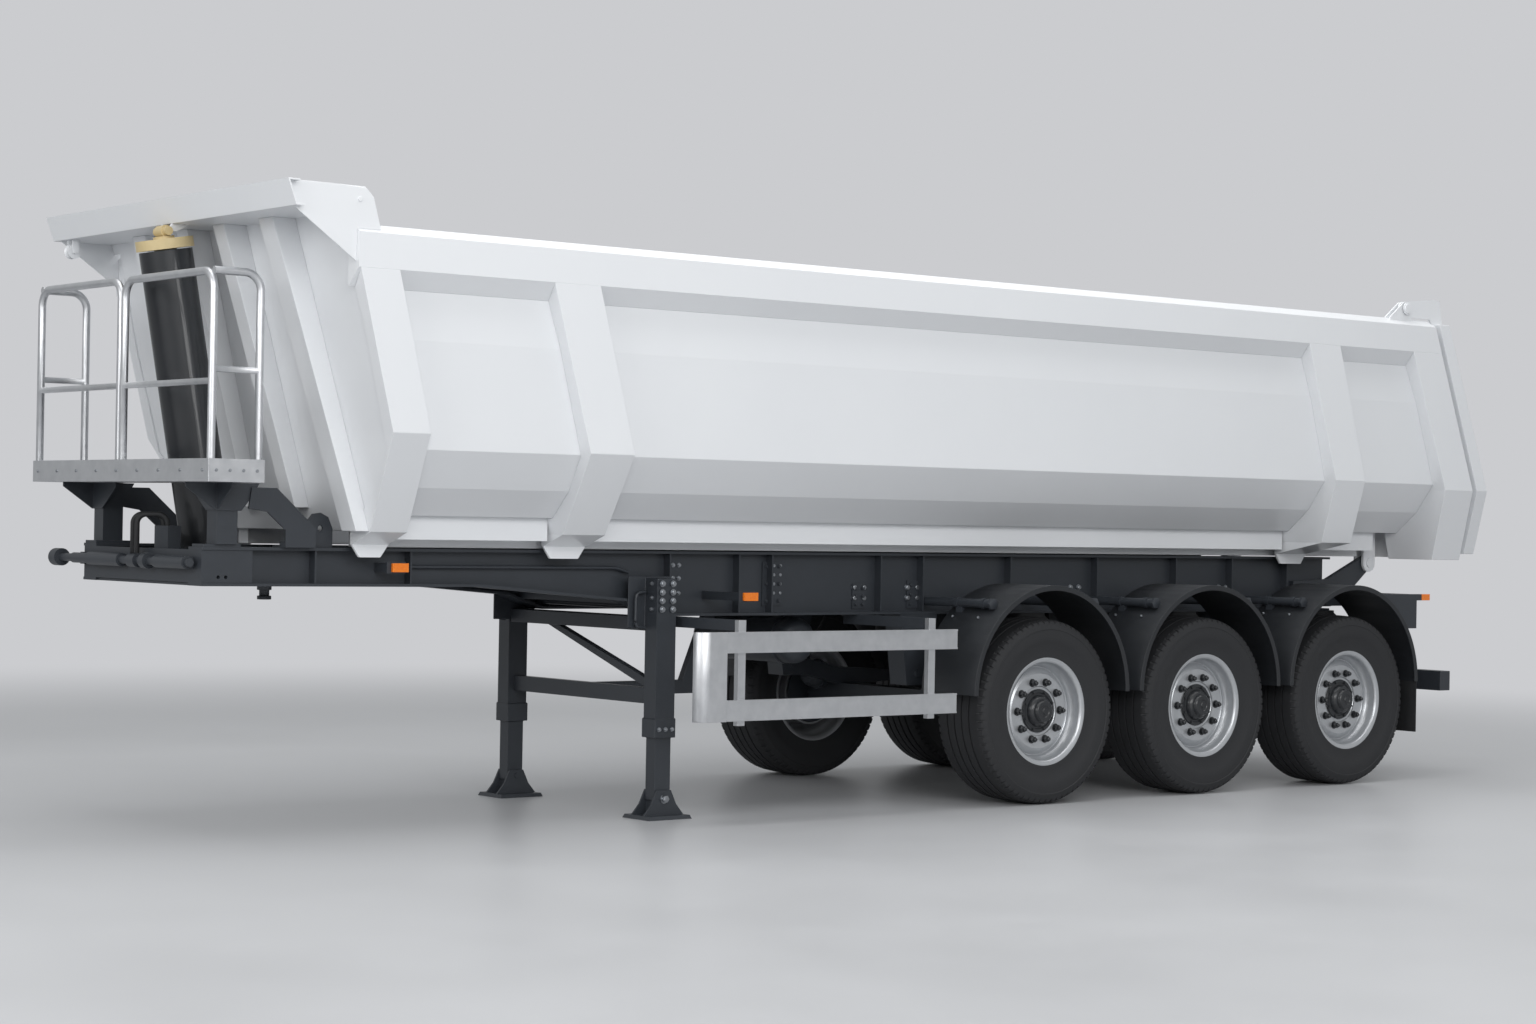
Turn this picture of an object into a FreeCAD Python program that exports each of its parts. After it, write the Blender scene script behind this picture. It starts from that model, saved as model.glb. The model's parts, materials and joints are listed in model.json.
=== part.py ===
"""Tri-axle dump semi-trailer: faceted steel body, front hoist, air suspension, landing legs.

Frame: +X towards the coupling end, +Y to the left, +Z up, millimetres.
Heights are above the ground. Lengths are set out from the front axle, and every piece is
moved along X at the end, so that the origin lies under the middle of the whole trailer.
"""
import FreeCAD, Part
import math
import os

os.makedirs("parts", exist_ok=True)

# ---------------------------------------------------------------- driving sizes
AXLE_COUNT = 3
AXLE_SPACING = 1310.0
TYRE_RADIUS = 525.0
TYRE_WIDTH = 385.0
WHEEL_CENTRE_Y = 1020.0          # half of the track

HALF_WIDTH = 1250.0              # outer face of ribs and rails
WALL = 8.0                       # side, front and tailgate sheet
FLOOR_TOP = 1577.0
FLOOR_HALF_WIDTH = 800.0
RAIL_BOTTOM = 2720.0
RAIL_TOP = 2926.0
RAIL_FRONT = 4557.0
FASCIA_TOP = 3097.0

FRAME_TOP = 1405.0
FRAME_FRONT = 5010.0
FRAME_REAR = -3100.0
FLANGE = 14.0
WEB = 12.0
WEB_CENTRE_Y = 560.0
FLANGE_HALF = 70.0
NECK_BOTTOM = 1220.0             # underside of the shallow front part
DEEP_BOTTOM = 1060.0             # underside over the running gear

PIVOT_X = -3500.0                # tipping axis
PIVOT_Z = 1370.0
HOIST_BASE_X = 4635.0            # trunnion axis of the hoist
HOIST_BASE_Z = 1310.0
HOIST_LEAN = 10.05               # degrees forward of upright, body down
HOIST_LENGTH = 1655.0            # trunnion axis to rod eye, closed

DECK_FRONT = 5150.0
DECK_REAR = 4858.0
DECK_HALF_WIDTH = 940.0
DECK_TOP = 1817.0
SKIRT_HEIGHT = 107.0

LEG_X = 2360.0
RUN = 6.0                        # clearance beside a moving plate
PIN_GAP = 0.5                    # radial clearance of a pin in its bore

# ---------------------------------------------------------------- plumbing
PIECES = {}


def vec(x, y, z):
    return FreeCAD.Vector(x, y, z)


def box(x0, x1, y0, y1, z0, z1):
    return Part.makeBox(x1 - x0, y1 - y0, z1 - z0, vec(x0, y0, z0))


def polygon(points):
    return Part.Face(Part.makePolygon(points + [points[0]]))


def along_x(yz, x0, x1):
    """Outline in Y and Z, extruded from x0 to x1."""
    return polygon([vec(x0, y, z) for y, z in yz]).extrude(vec(x1 - x0, 0, 0))


def along_y(xz, y0, y1):
    """Outline in X and Z, extruded from y0 to y1."""
    return polygon([vec(x, y0, z) for x, z in xz]).extrude(vec(0, y1 - y0, 0))


def along_z(xy, z0, z1):
    """Outline in X and Y, extruded from z0 to z1."""
    return polygon([vec(x, y, z0) for x, y in xy]).extrude(vec(0, 0, z1 - z0))


def rod(start, end, radius, bore=0.0):
    """Round bar between two points, or a tube when it has a bore."""
    run = end - start
    bar = Part.makeCylinder(radius, run.Length, start, run)
    if bore:
        bar = bar.cut(Part.makeCylinder(bore, run.Length, start, run))
    return bar


def turned(profile, x, z, side, centre_y):
    """Profile of (offset from centre_y, radius) turned about a line along Y; side is +1 or -1."""
    points = [vec(x, side * (centre_y + offset), z + radius) for offset, radius in profile]
    return polygon(points).revolve(vec(x, 0, z), vec(0, 1, 0), 360)


def tapered(low, high):
    """Solid between two rectangles, each (x0, x1, y0, y1, z), with flat sides."""
    wires = []
    for x0, x1, y0, y1, z in (low, high):
        corners = [vec(x0, y0, z), vec(x1, y0, z), vec(x1, y1, z), vec(x0, y1, z)]
        wires.append(Part.makePolygon(corners + [corners[0]]))
    return Part.makeLoft(wires, True, True)


def mirrored(shape):
    return shape.mirror(vec(0, 0, 0), vec(0, 1, 0))


def both(shape):
    return [shape, mirrored(shape)]


def fused(shapes):
    whole = shapes[0]
    if len(shapes) > 1:
        whole = whole.multiFuse(shapes[1:])
    return whole.removeSplitter()


def keep(node, *shapes):
    """Files solids under a node; each is written once all pieces are known."""
    solids = []
    for shape in shapes:
        solids.extend(shape.Solids)
    PIECES.setdefault(node, []).extend(solids)


def bent_tube(points, radius, bend):
    """Round bar through points, with an arc of radius bend at each inner point."""
    edges = []
    start = points[0]
    for before, corner, after in zip(points, points[1:], points[2:]):
        back = (before - corner).normalize()
        ahead = (after - corner).normalize()
        half = back.getAngle(ahead) / 2
        reach = bend / math.tan(half)
        first = corner + back * reach
        last = corner + ahead * reach
        inward = (back + ahead).normalize()
        middle = corner + inward * (bend / math.sin(half) - bend)
        edges.append(Part.LineSegment(start, first).toShape())
        edges.append(Part.Arc(first, middle, last).toShape())
        start = last
    edges.append(Part.LineSegment(start, points[-1]).toShape())
    path = Part.Wire(edges)
    ring = Part.Wire(Part.makeCircle(radius, points[0], points[1] - points[0]))
    return path.makePipeShell([ring], True, True)


# ---------------------------------------------------------------- dump body outlines
LEAN_FRONT = 0.25                # forward run of the front wall per unit of height
FRONT_AT = 1957.0                # height at which the front wall meets FRONT_X
FRONT_X = 4346.0
FLOOR_BOTTOM = FLOOR_TOP - WALL

# outer face of the side wall, from the floor's edge up to the underside of the rail
SIDE_OUTER = [
    (FLOOR_HALF_WIDTH, FLOOR_BOTTOM),
    (990.0, 1704.0),
    (1160.0, 1884.0),
    (1175.0, 2400.0),
    (1160.0, 2634.0),
]
RAIL_INNER = SIDE_OUTER[-1][0] - WALL

REAR_KINK = (-3759.0, 1850.0)    # rear edge of the body, seen from the side
REAR_TOP_LEAN = 0.39
REAR_LOW_LEAN = 0.28


def front_x(z):
    """Outer face of the front wall."""
    return FRONT_X + LEAN_FRONT * (z - FRONT_AT)


def rear_x(z):
    """Rear edge of the body."""
    x, kink = REAR_KINK
    lean = REAR_TOP_LEAN if z >= kink else REAR_LOW_LEAN
    return x + lean * (z - kink)


def behind(z0, z1, near, far, y0, y1):
    """Slab parallel to the rear edge, from near to far behind it."""
    heights = [z0, REAR_KINK[1], z1]
    front = [(rear_x(z) - near, z) for z in heights]
    back = [(rear_x(z) - far, z) for z in reversed(heights)]
    return along_y(front + back, y0, y1)


def inset(outline, step):
    """Points of an open outline, each moved inwards (to lower Y or higher Z) by the sheet."""
    moved = []
    count = len(outline)
    for i, (y, z) in enumerate(outline):
        normals = []
        for j in (i - 1, i):
            if 0 <= j < count - 1:
                dy = outline[j + 1][0] - outline[j][0]
                dz = outline[j + 1][1] - outline[j][1]
                length = math.hypot(dy, dz)
                normals.append((-dz / length, dy / length))
        ny = sum(n[0] for n in normals)
        nz = sum(n[1] for n in normals)
        scale = step * len(normals) / (ny * ny + nz * nz)
        moved.append((y + ny * scale, z + nz * scale))
    return moved


# ---------------------------------------------------------------- dump body sheets
REAR_LONG = -4200.0
FRONT_LONG = 4800.0


def tub_length():
    """Everything between the back of the front wall and the rear edge."""
    heights = [1300.0, 3300.0]
    front = [(front_x(z) - WALL, z) for z in heights]
    rear = [(rear_x(3300.0), 3300.0), REAR_KINK, (rear_x(1300.0), 1300.0)]
    return along_y(front + rear, -1400.0, 1400.0)


TUB_LENGTH = tub_length()

floor_sheet = box(REAR_LONG, FRONT_LONG, -FLOOR_HALF_WIDTH, FLOOR_HALF_WIDTH,
                  FLOOR_BOTTOM, FLOOR_TOP)
keep("floor", floor_sheet.common(TUB_LENGTH))

side_inner = inset(SIDE_OUTER, WALL)
side_inner[0] = (FLOOR_HALF_WIDTH, FLOOR_TOP + 1.8)
side_inner[-1] = (RAIL_INNER, SIDE_OUTER[-1][1])
side_outline = SIDE_OUTER + list(reversed(side_inner))
side_sheet = along_x(side_outline, REAR_LONG, FRONT_LONG).common(TUB_LENGTH)
keep("side_wall_left", side_sheet)
keep("side_wall_right", mirrored(side_sheet))

# rail: a closed section along the top edge, cut off upright at the front
RAIL_SHOULDER = 2885.0
RAIL_CREST_Y = 1182.0
rail_outline = [
    SIDE_OUTER[-1],
    (HALF_WIDTH, RAIL_BOTTOM),
    (HALF_WIDTH, RAIL_SHOULDER),
    (RAIL_CREST_Y, RAIL_TOP),
    (RAIL_INNER, RAIL_TOP),
    (RAIL_INNER, SIDE_OUTER[-1][1]),
]
rail_rear = along_y([(RAIL_FRONT, 2500.0), (RAIL_FRONT, 3200.0), (rear_x(3200.0), 3200.0),
                     (rear_x(2500.0), 2500.0)], 0, 1400.0)
top_rail = along_x(rail_outline, REAR_LONG, FRONT_LONG).common(rail_rear)

# front wall: one leaning sheet that reaches below the floor and up under the canopy
CANOPY_UNDER = 3085.0
SIDE_PLATE_Y = 1220.0
FRONT_WALL_LOW = 1490.0
POST_FOOT_Y = 700.0
wall_half = [
    (POST_FOOT_Y, FRONT_WALL_LOW),
    (POST_FOOT_Y, FLOOR_BOTTOM),
] + SIDE_OUTER + [
    (RAIL_INNER, SIDE_OUTER[-1][1]),
    (RAIL_INNER, RAIL_TOP),
    (SIDE_PLATE_Y, RAIL_TOP),
    (SIDE_PLATE_Y, CANOPY_UNDER),
]
wall_outline = wall_half + [(-y, z) for y, z in reversed(wall_half)]
wall_slab = along_y([(front_x(1300.0) - WALL, 1300.0), (front_x(1300.0), 1300.0),
                     (front_x(3300.0), 3300.0), (front_x(3300.0) - WALL, 3300.0)],
                    -1400.0, 1400.0)
front_wall = along_x(wall_outline, 4000.0, 5000.0).common(wall_slab)
keep("front_wall", front_wall)

# upright box stiffeners on the front wall, deeper towards the top
STIFFENER_TOP = 2976.0
STIFFENER_DEEP = 126.0
STIFFENER_SHALLOW = 80.0


def stiffener(top_y, low_y, width, low_z):
    low_face = front_x(low_z)
    top_face = front_x(STIFFENER_TOP)
    low = (low_face, low_face + STIFFENER_SHALLOW, low_y - width / 2, low_y + width / 2, low_z)
    high = (top_face, top_face + STIFFENER_DEEP, top_y - width / 2, top_y + width / 2,
            STIFFENER_TOP)
    return tapered(low, high)


corner_stiffener = stiffener(660.0, 780.0, 135.0, FRONT_WALL_LOW)
keep("front_stiffeners", *both(stiffener(190.0, 250.0, 110.0, 1600.0)))

# canopy: a box hood over the hoist, two side plates and an open channel at each end
FASCIA_FRONT = 4950.0
FASCIA_LOW_X = 4905.0
FASCIA_BOTTOM = 2976.0
CANOPY_REAR = 4510.0
hood = along_y([
    (FASCIA_FRONT, FASCIA_TOP), (FASCIA_LOW_X, FASCIA_BOTTOM),
    (front_x(FASCIA_BOTTOM), FASCIA_BOTTOM), (front_x(CANOPY_UNDER), CANOPY_UNDER),
    (CANOPY_REAR, CANOPY_UNDER), (CANOPY_REAR, FASCIA_TOP),
], -SIDE_PLATE_Y, SIDE_PLATE_Y)
side_plate = along_y([
    (FASCIA_FRONT - 14, FASCIA_TOP), (FASCIA_LOW_X - 14, FASCIA_BOTTOM),
    (RAIL_FRONT, 2745.0), (RAIL_FRONT, RAIL_TOP - 40), (4424.0, RAIL_TOP - 40),
    (4470.0, 3050.0), (4510.0, 3090.0), (4640.0, FASCIA_TOP),
], SIDE_PLATE_Y, SIDE_PLATE_Y + WALL).cut(top_rail)
CHANNEL_END = 1275.0
channel = along_y([
    (FASCIA_FRONT, FASCIA_TOP), (FASCIA_LOW_X, FASCIA_BOTTOM), (4860.0, FASCIA_BOTTOM),
    (4860.0, FASCIA_BOTTOM + WALL), (FASCIA_LOW_X - WALL, FASCIA_BOTTOM + WALL),
    (FASCIA_FRONT - WALL - 3, FASCIA_TOP - WALL), (4885.0, FASCIA_TOP - WALL),
    (4885.0, FASCIA_TOP),
], SIDE_PLATE_Y, CHANNEL_END)
canopy_parts = [hood, *both(side_plate), *both(channel)]

# ribs: (top front x, top rear x, kink z, kink front x, kink rear x,
#        low z, low front x, low rear x, low y)
RIBS = [
    (4546.0, 4334.0, 1957.0, 4356.0, 4148.0, 1487.0, 4237.0, 4030.0, 860.0),
    (3455.0, 3180.0, 1890.0, 3222.0, 2952.0, 1486.0, 3112.0, 2850.0, 860.0),
    (-2135.0, -2424.0, 1889.0, -2403.0, -2683.0, 1500.0, -2507.0, -2787.0, 1055.0),
    (-3135.0, rear_x(RAIL_BOTTOM), 1850.0, -3476.0, rear_x(1850.0),
     1400.0, -3602.0, rear_x(1400.0), 1053.0),
]
TAB_Y = 690.0                    # guide tab beside the chassis
TAB_THICKNESS = 20.0
TAB_TOP = 1425.0
TAB_BOTTOM = 1362.0
TAB_DRAFT = 45.0


def rib(top_front, top_rear, kink_z, kink_front, kink_rear, low_z, low_front, low_rear, low_y):
    """Folded box rib: straight to the kink, then tapering in under the body."""
    side = along_y([
        (top_front, RAIL_BOTTOM), (kink_front, kink_z), (low_front, low_z),
        (low_front, 1200.0), (low_rear, 1200.0), (low_rear, low_z), (kink_rear, kink_z),
        (top_rear, RAIL_BOTTOM),
    ], 0, 1400.0)
    has_tab = low_rear > PIVOT_X
    if has_tab:
        foot = [(TAB_Y, TAB_TOP), (TAB_Y - TAB_THICKNESS, TAB_TOP),
                (TAB_Y - TAB_THICKNESS, FLOOR_BOTTOM)]
    else:
        foot = [(POST_FOOT_Y, low_z), (POST_FOOT_Y, FLOOR_BOTTOM)]
    section = along_x([(HALF_WIDTH, RAIL_BOTTOM), (HALF_WIDTH, kink_z), (low_y, low_z)] + foot
                      + SIDE_OUTER, REAR_LONG, FRONT_LONG)
    return side.common(section)


def guide_tab(low_front, low_rear):
    """Tapered tab under a rib, just outside the chassis flange."""
    return along_y([
        (low_front, TAB_TOP), (low_rear, TAB_TOP),
        (low_rear + TAB_DRAFT, TAB_BOTTOM), (low_front - TAB_DRAFT, TAB_BOTTOM),
    ], TAB_Y - TAB_THICKNESS, TAB_Y)


for values in RIBS:
    piece = rib(*values)
    if values[7] > PIVOT_X:
        piece = fused([piece, guide_tab(values[6], values[7])])
    piece = piece.cut(front_wall)
    corner_stiffener = corner_stiffener.cut(piece)
    keep("ribs", *both(piece))
keep("front_stiffeners", *both(corner_stiffener))

# ---------------------------------------------------------------- dump body underframe
RUNNER_BOTTOM = FRAME_TOP + 6.0
RUNNER_HALF = 50.0
RUNNER_REAR = PIVOT_X + 110.0
runner = box(RUNNER_REAR, 4150.0, WEB_CENTRE_Y - RUNNER_HALF, WEB_CENTRE_Y + RUNNER_HALF,
             RUNNER_BOTTOM, FLOOR_BOTTOM)
keep("bed_runners", *both(runner))

SILL_Y = 750.0
SILL_BOTTOM = 1452.0
BEARER_WIDTH = 70.0
BEARER_BOTTOM = 1485.0
BEARER_PITCH = 560.0
sill_spans = [(4020.0, 3130.0), (2840.0, -2490.0), (-2800.0, -3380.0)]
sills = []
for front, rear in sill_spans:
    sills.append(box(rear, front, SILL_Y - WALL, SILL_Y, SILL_BOTTOM, FLOOR_BOTTOM))


def bearers():
    """Cross bearers under the floor, stopped against the runners, clear of the ribs."""
    x = 3800.0
    while x > -3300.0:
        in_rib = any(rear - BEARER_WIDTH < x < front + BEARER_WIDTH for front, rear in
                     [(values[6], values[7]) for values in RIBS])
        outer = SILL_Y - WALL if not in_rib else WEB_CENTRE_Y + RUNNER_HALF
        inner = WEB_CENTRE_Y - RUNNER_HALF
        yield box(x - BEARER_WIDTH / 2, x + BEARER_WIDTH / 2, -inner, inner,
                  BEARER_BOTTOM, FLOOR_BOTTOM)
        if not in_rib:
            wing = box(x - BEARER_WIDTH / 2, x + BEARER_WIDTH / 2,
                       WEB_CENTRE_Y + RUNNER_HALF, outer, BEARER_BOTTOM, FLOOR_BOTTOM)
            yield wing
            yield mirrored(wing)
        x -= BEARER_PITCH


rib_solids = fused(PIECES["ribs"])
keep("bed_bearers", *[s.cut(rib_solids) for sill in sills for s in both(sill)])
for bearer in bearers():
    keep("bed_bearers", bearer.cut(rib_solids))

# rear sill: box across the body's tail, between the rear posts' feet
rear_sill = along_y([
    (-3660.0, FLOOR_BOTTOM), (-3660.0, 1410.0), (rear_x(1410.0), 1410.0),
    (rear_x(FLOOR_BOTTOM), FLOOR_BOTTOM),
], -POST_FOOT_Y, POST_FOOT_Y)
keep("bed_bearers", rear_sill.cut(rib_solids))

# hinge lugs: a pair of plates each side of each chassis arm, with the pin
ARM_IN = WEB_CENTRE_Y + WEB / 2
ARM_OUT = ARM_IN + 34.0
PIN_RADIUS = 30.0
LUG = 18.0
LUG_RADIUS = 58.0


def hinge_lugs():
    plates = []
    for y0 in (ARM_IN - RUN - LUG, ARM_OUT + RUN):
        head = rod(vec(PIVOT_X, y0, PIVOT_Z), vec(PIVOT_X, y0 + LUG, PIVOT_Z), LUG_RADIUS)
        web = box(PIVOT_X - LUG_RADIUS, PIVOT_X + LUG_RADIUS, y0, y0 + LUG,
                  PIVOT_Z, FLOOR_BOTTOM)
        plates.extend([head, web])
    pin = rod(vec(PIVOT_X, ARM_IN - RUN - LUG - 8, PIVOT_Z),
              vec(PIVOT_X, ARM_OUT + RUN + LUG + 8, PIVOT_Z), PIN_RADIUS)
    return fused(plates + [pin])


keep("bed_hinge_lugs", *both(hinge_lugs()))

# hoist bracket: two cheeks under the hood that the rod eye's cross pin bears against
lean = math.radians(HOIST_LEAN)
HOIST_AXIS = vec(math.sin(lean), 0, math.cos(lean))
HOIST_BASE = vec(HOIST_BASE_X, 0, HOIST_BASE_Z)
EYE = HOIST_BASE + HOIST_AXIS * HOIST_LENGTH
EYE_RADIUS = 30.0
EYE_PIN_RADIUS = 22.0
EYE_PIN_GAP = 2.5                # radial play of the cross pin in its notch
CHEEK = 16.0
CHEEK_GAP = 42.0


def hoist_cheeks():
    """Plates with a notch over the cross pin, hung from the hood."""
    outline = along_y([
        (EYE.x - 110, FASCIA_BOTTOM), (EYE.x - 60, EYE.z + 6), (EYE.x - 30, EYE.z - 2),
        (EYE.x + 4, EYE.z - 4), (FASCIA_LOW_X, FASCIA_BOTTOM),
    ], CHEEK_GAP, CHEEK_GAP + CHEEK)
    notch = rod(EYE - vec(0, 200, 0), EYE + vec(0, 200, 0), EYE_PIN_RADIUS + EYE_PIN_GAP)
    return outline.cut(notch)


keep("canopy", fused(canopy_parts + both(hoist_cheeks())))

# ---------------------------------------------------------------- tailgate
GATE_GAP = 12.0
GATE_PANEL_HALF = 1200.0
GATE_TOP = 2905.0
GATE_LOW = 1440.0
GATE_LOW_HALF = 1062.0
GATE_DEEP = 130.0
BAR = 62.0
BAR_GAP = 45.0


def gate_outline(step):
    """Outline of the gate in Y and Z, drawn in by step."""
    half = [(HALF_WIDTH - step, GATE_TOP - step), (HALF_WIDTH - step, REAR_KINK[1] - step * 0.2),
            (GATE_LOW_HALF - step * 0.9, GATE_LOW + step)]
    return half + [(-y, z) for y, z in reversed(half)]


def gate_slab(step, near, far):
    slab = behind(1300.0, 3200.0, near, far, -1400.0, 1400.0)
    return along_x(gate_outline(step), -4600.0, -3000.0).common(slab)


panel_half = HALF_WIDTH - GATE_PANEL_HALF
gate_panel = gate_slab(panel_half, GATE_GAP, GATE_GAP + WALL + 2)
keep("tailgate_panel", gate_panel)

bars = gate_slab(0, BAR_GAP, BAR_GAP + 105.0).cut(gate_slab(BAR, BAR_GAP - 10, BAR_GAP + 130.0))
gate_ribs = []
for height in (2480.0, 2050.0):
    gate_ribs.append(behind(1300.0, 3200.0, GATE_GAP + WALL + 2, GATE_DEEP,
                            -HALF_WIDTH + BAR, HALF_WIDTH - BAR)
                     .common(box(-4600, -3000, -1400, 1400, height - 45, height + 45)))
for y in (-560.0, 0.0, 560.0):
    gate_ribs.append(gate_slab(BAR, GATE_GAP + WALL + 2, GATE_DEEP)
                     .common(box(-4600, -3000, y - 40, y + 40, 1300, 3200)))
for height, rise in ((GATE_LOW, 62.0), (GATE_TOP - 62.0, 62.0)):
    gate_ribs.append(gate_slab(BAR * 0.9, GATE_GAP + WALL + 2, BAR_GAP + 40)
                     .common(box(-4600, -3000, -1400, 1400, height, height + rise + 8)))
keep("tailgate_frame", fused([bars] + gate_ribs))

GATE_PIN_X = -3110.0
GATE_PIN_Z = 2992.0
GATE_PIN_RADIUS = 18.0
GATE_ARM_IN = 1172.0
GATE_ARM = 15.0
EAR = 12.0


def gate_arm():
    """Arm from the hinge pin over the rail to the gate's top corner."""
    y0, y1 = GATE_ARM_IN, GATE_ARM_IN + GATE_ARM
    plate = along_y([
        (GATE_PIN_X, GATE_PIN_Z + 44), (-3410.0, 3067.0), (-3470.0, 3060.0),
        (rear_x(GATE_TOP) - BAR_GAP - 105.0, GATE_TOP), (rear_x(GATE_TOP) - BAR_GAP, GATE_TOP),
        (rear_x(RAIL_TOP) - 30.0, RAIL_TOP + 12.0), (GATE_PIN_X, RAIL_TOP + 12.0),
    ], y0, y1)
    head = rod(vec(GATE_PIN_X, y0, GATE_PIN_Z), vec(GATE_PIN_X, y1, GATE_PIN_Z), 44.0)
    bore = rod(vec(GATE_PIN_X, y0 - 5, GATE_PIN_Z), vec(GATE_PIN_X, y1 + 5, GATE_PIN_Z),
               GATE_PIN_RADIUS + PIN_GAP)
    return fused([plate, head]).cut(bore)


keep("tailgate_arms", *both(gate_arm()))


def gate_ears():
    """Ears on the rail that hold the tailgate's hinge pin."""
    ears = []
    for y0 in (GATE_ARM_IN - RUN - EAR, GATE_ARM_IN + GATE_ARM + RUN):
        head = rod(vec(GATE_PIN_X, y0, GATE_PIN_Z), vec(GATE_PIN_X, y0 + EAR, GATE_PIN_Z), 44.0)
        base = along_y([
            (GATE_PIN_X + 165, RAIL_SHOULDER), (GATE_PIN_X + 150, RAIL_TOP + 8),
            (GATE_PIN_X + 30, GATE_PIN_Z + 32), (GATE_PIN_X - 30, GATE_PIN_Z + 32),
            (GATE_PIN_X - 55, RAIL_TOP + 4), (GATE_PIN_X - 55, RAIL_SHOULDER),
        ], y0, y0 + EAR)
        ears.extend([head, base])
    pin = rod(vec(GATE_PIN_X, GATE_ARM_IN - RUN - EAR - 4, GATE_PIN_Z),
              vec(GATE_PIN_X, GATE_ARM_IN + GATE_ARM + RUN + EAR + 10, GATE_PIN_Z),
              GATE_PIN_RADIUS)
    return fused(ears + [pin]).cut(top_rail)


keep("top_rails", *both(fused([top_rail, gate_ears()])))

# ---------------------------------------------------------------- chassis rails
# underside of the bottom flange, front to rear
FRAME_LOWER = [
    (FRAME_FRONT, NECK_BOTTOM),
    (3450.0, NECK_BOTTOM - 5),
    (2530.0, 1140.0),
    (2420.0, 1100.0),
    (2300.0, DEEP_BOTTOM),
    (FRAME_REAR, DEEP_BOTTOM),
]
STIFFENER_XS = [4740.0, 4390.0, 3850.0, 2240.0, 1770.0, 1540.0, 750.0, 430.0,
                -260.0, -980.0, -1670.0, -2180.0, -2700.0]


def lower_edge(x):
    """Height of the bottom flange's underside at x."""
    for (x0, z0), (x1, z1) in zip(FRAME_LOWER, FRAME_LOWER[1:]):
        if x1 <= x <= x0:
            return z0 + (z1 - z0) * (x0 - x) / (x0 - x1)
    return DEEP_BOTTOM


def frame_rail():
    low = FRAME_LOWER
    raised = [(x, z + FLANGE) for x, z in low]
    web = along_y(raised + [(FRAME_REAR, FRAME_TOP - FLANGE), (FRAME_FRONT, FRAME_TOP - FLANGE)],
                  WEB_CENTRE_Y - WEB / 2, WEB_CENTRE_Y + WEB / 2)
    bottom = along_y(low + list(reversed(raised)),
                     WEB_CENTRE_Y - FLANGE_HALF, WEB_CENTRE_Y + FLANGE_HALF)
    top = box(FRAME_REAR, FRAME_FRONT, WEB_CENTRE_Y - FLANGE_HALF, WEB_CENTRE_Y + FLANGE_HALF,
              FRAME_TOP - FLANGE, FRAME_TOP)
    stiffeners = []
    for x in STIFFENER_XS:
        low_z = max(lower_edge(x), lower_edge(x + 10)) + FLANGE
        stiffeners.append(box(x, x + 10, WEB_CENTRE_Y - 60, WEB_CENTRE_Y + 60,
                              low_z, FRAME_TOP - FLANGE))
    corner = box(FRAME_FRONT - 270, FRAME_FRONT, WEB_CENTRE_Y + WEB / 2, WEB_CENTRE_Y + 62,
                 NECK_BOTTOM + FLANGE, FRAME_TOP - FLANGE)
    rail = fused([web, bottom, top, corner] + stiffeners)
    for dx in (90.0, 130.0):
        x = FRAME_FRONT - dx
        rail = rail.cut(rod(vec(x, WEB_CENTRE_Y, 1262.0), vec(x, WEB_CENTRE_Y + 80, 1262.0), 9.0))
    return rail


rail_left = frame_rail()
keep("frame_rails", *both(rail_left))

# cross members between the webs: (x, depth along x, lower z, upper z)
CROSSMEMBERS = [
    (FRAME_FRONT - 12, 12.0, NECK_BOTTOM + 14, FRAME_TOP - 14),
    (4800.0, 60.0, 1236.0, 1380.0),
    (3820.0, 80.0, 1236.0, 1360.0),
    (3100.0, 80.0, 1230.0, 1360.0),
    (2320.0, 120.0, 1120.0, 1300.0),
    (1500.0, 80.0, 1110.0, 1300.0),
    (490.0, 120.0, 1110.0, 1340.0),
    (-820.0, 120.0, 1110.0, 1340.0),
    (-2130.0, 120.0, 1110.0, 1340.0),
    (-3060.0, 100.0, 1090.0, 1340.0),
]
web_inner = WEB_CENTRE_Y - WEB / 2
for x, depth, z0, z1 in CROSSMEMBERS:
    beam = box(x, x + depth, -web_inner, web_inner, z0, z1)
    keep("crossmembers", beam.cut(rail_left).cut(mirrored(rail_left)))

# coupling plate and kingpin
KINGPIN_X = 4330.0
PLATE = 12.0
PLATE_FRONT = FRAME_FRONT - 12
PLATE_REAR = 3905.0
PLATE_HALF = WEB_CENTRE_Y - FLANGE_HALF
coupling_plate = box(PLATE_REAR, PLATE_FRONT, -PLATE_HALF, PLATE_HALF,
                     NECK_BOTTOM, NECK_BOTTOM + PLATE)
KINGPIN_LENGTH = 84.0
KINGPIN_NECK = 25.4
KINGPIN_BODY = 36.5
kingpin_profile = [
    (0.0, 0.0), (KINGPIN_BODY, 0.0), (KINGPIN_BODY, 35.0), (KINGPIN_NECK, 38.0),
    (KINGPIN_NECK, 64.0), (KINGPIN_BODY - 1, 66.0), (KINGPIN_BODY - 1, 82.0),
    (KINGPIN_BODY - 3, KINGPIN_LENGTH), (0.0, KINGPIN_LENGTH),
]
kingpin = polygon([vec(KINGPIN_X + r, 0, NECK_BOTTOM - d) for r, d in kingpin_profile]).revolve(
    vec(KINGPIN_X, 0, 0), vec(0, 0, 1), 360)
keep("coupling_plate", fused([coupling_plate, kingpin]))

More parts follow.
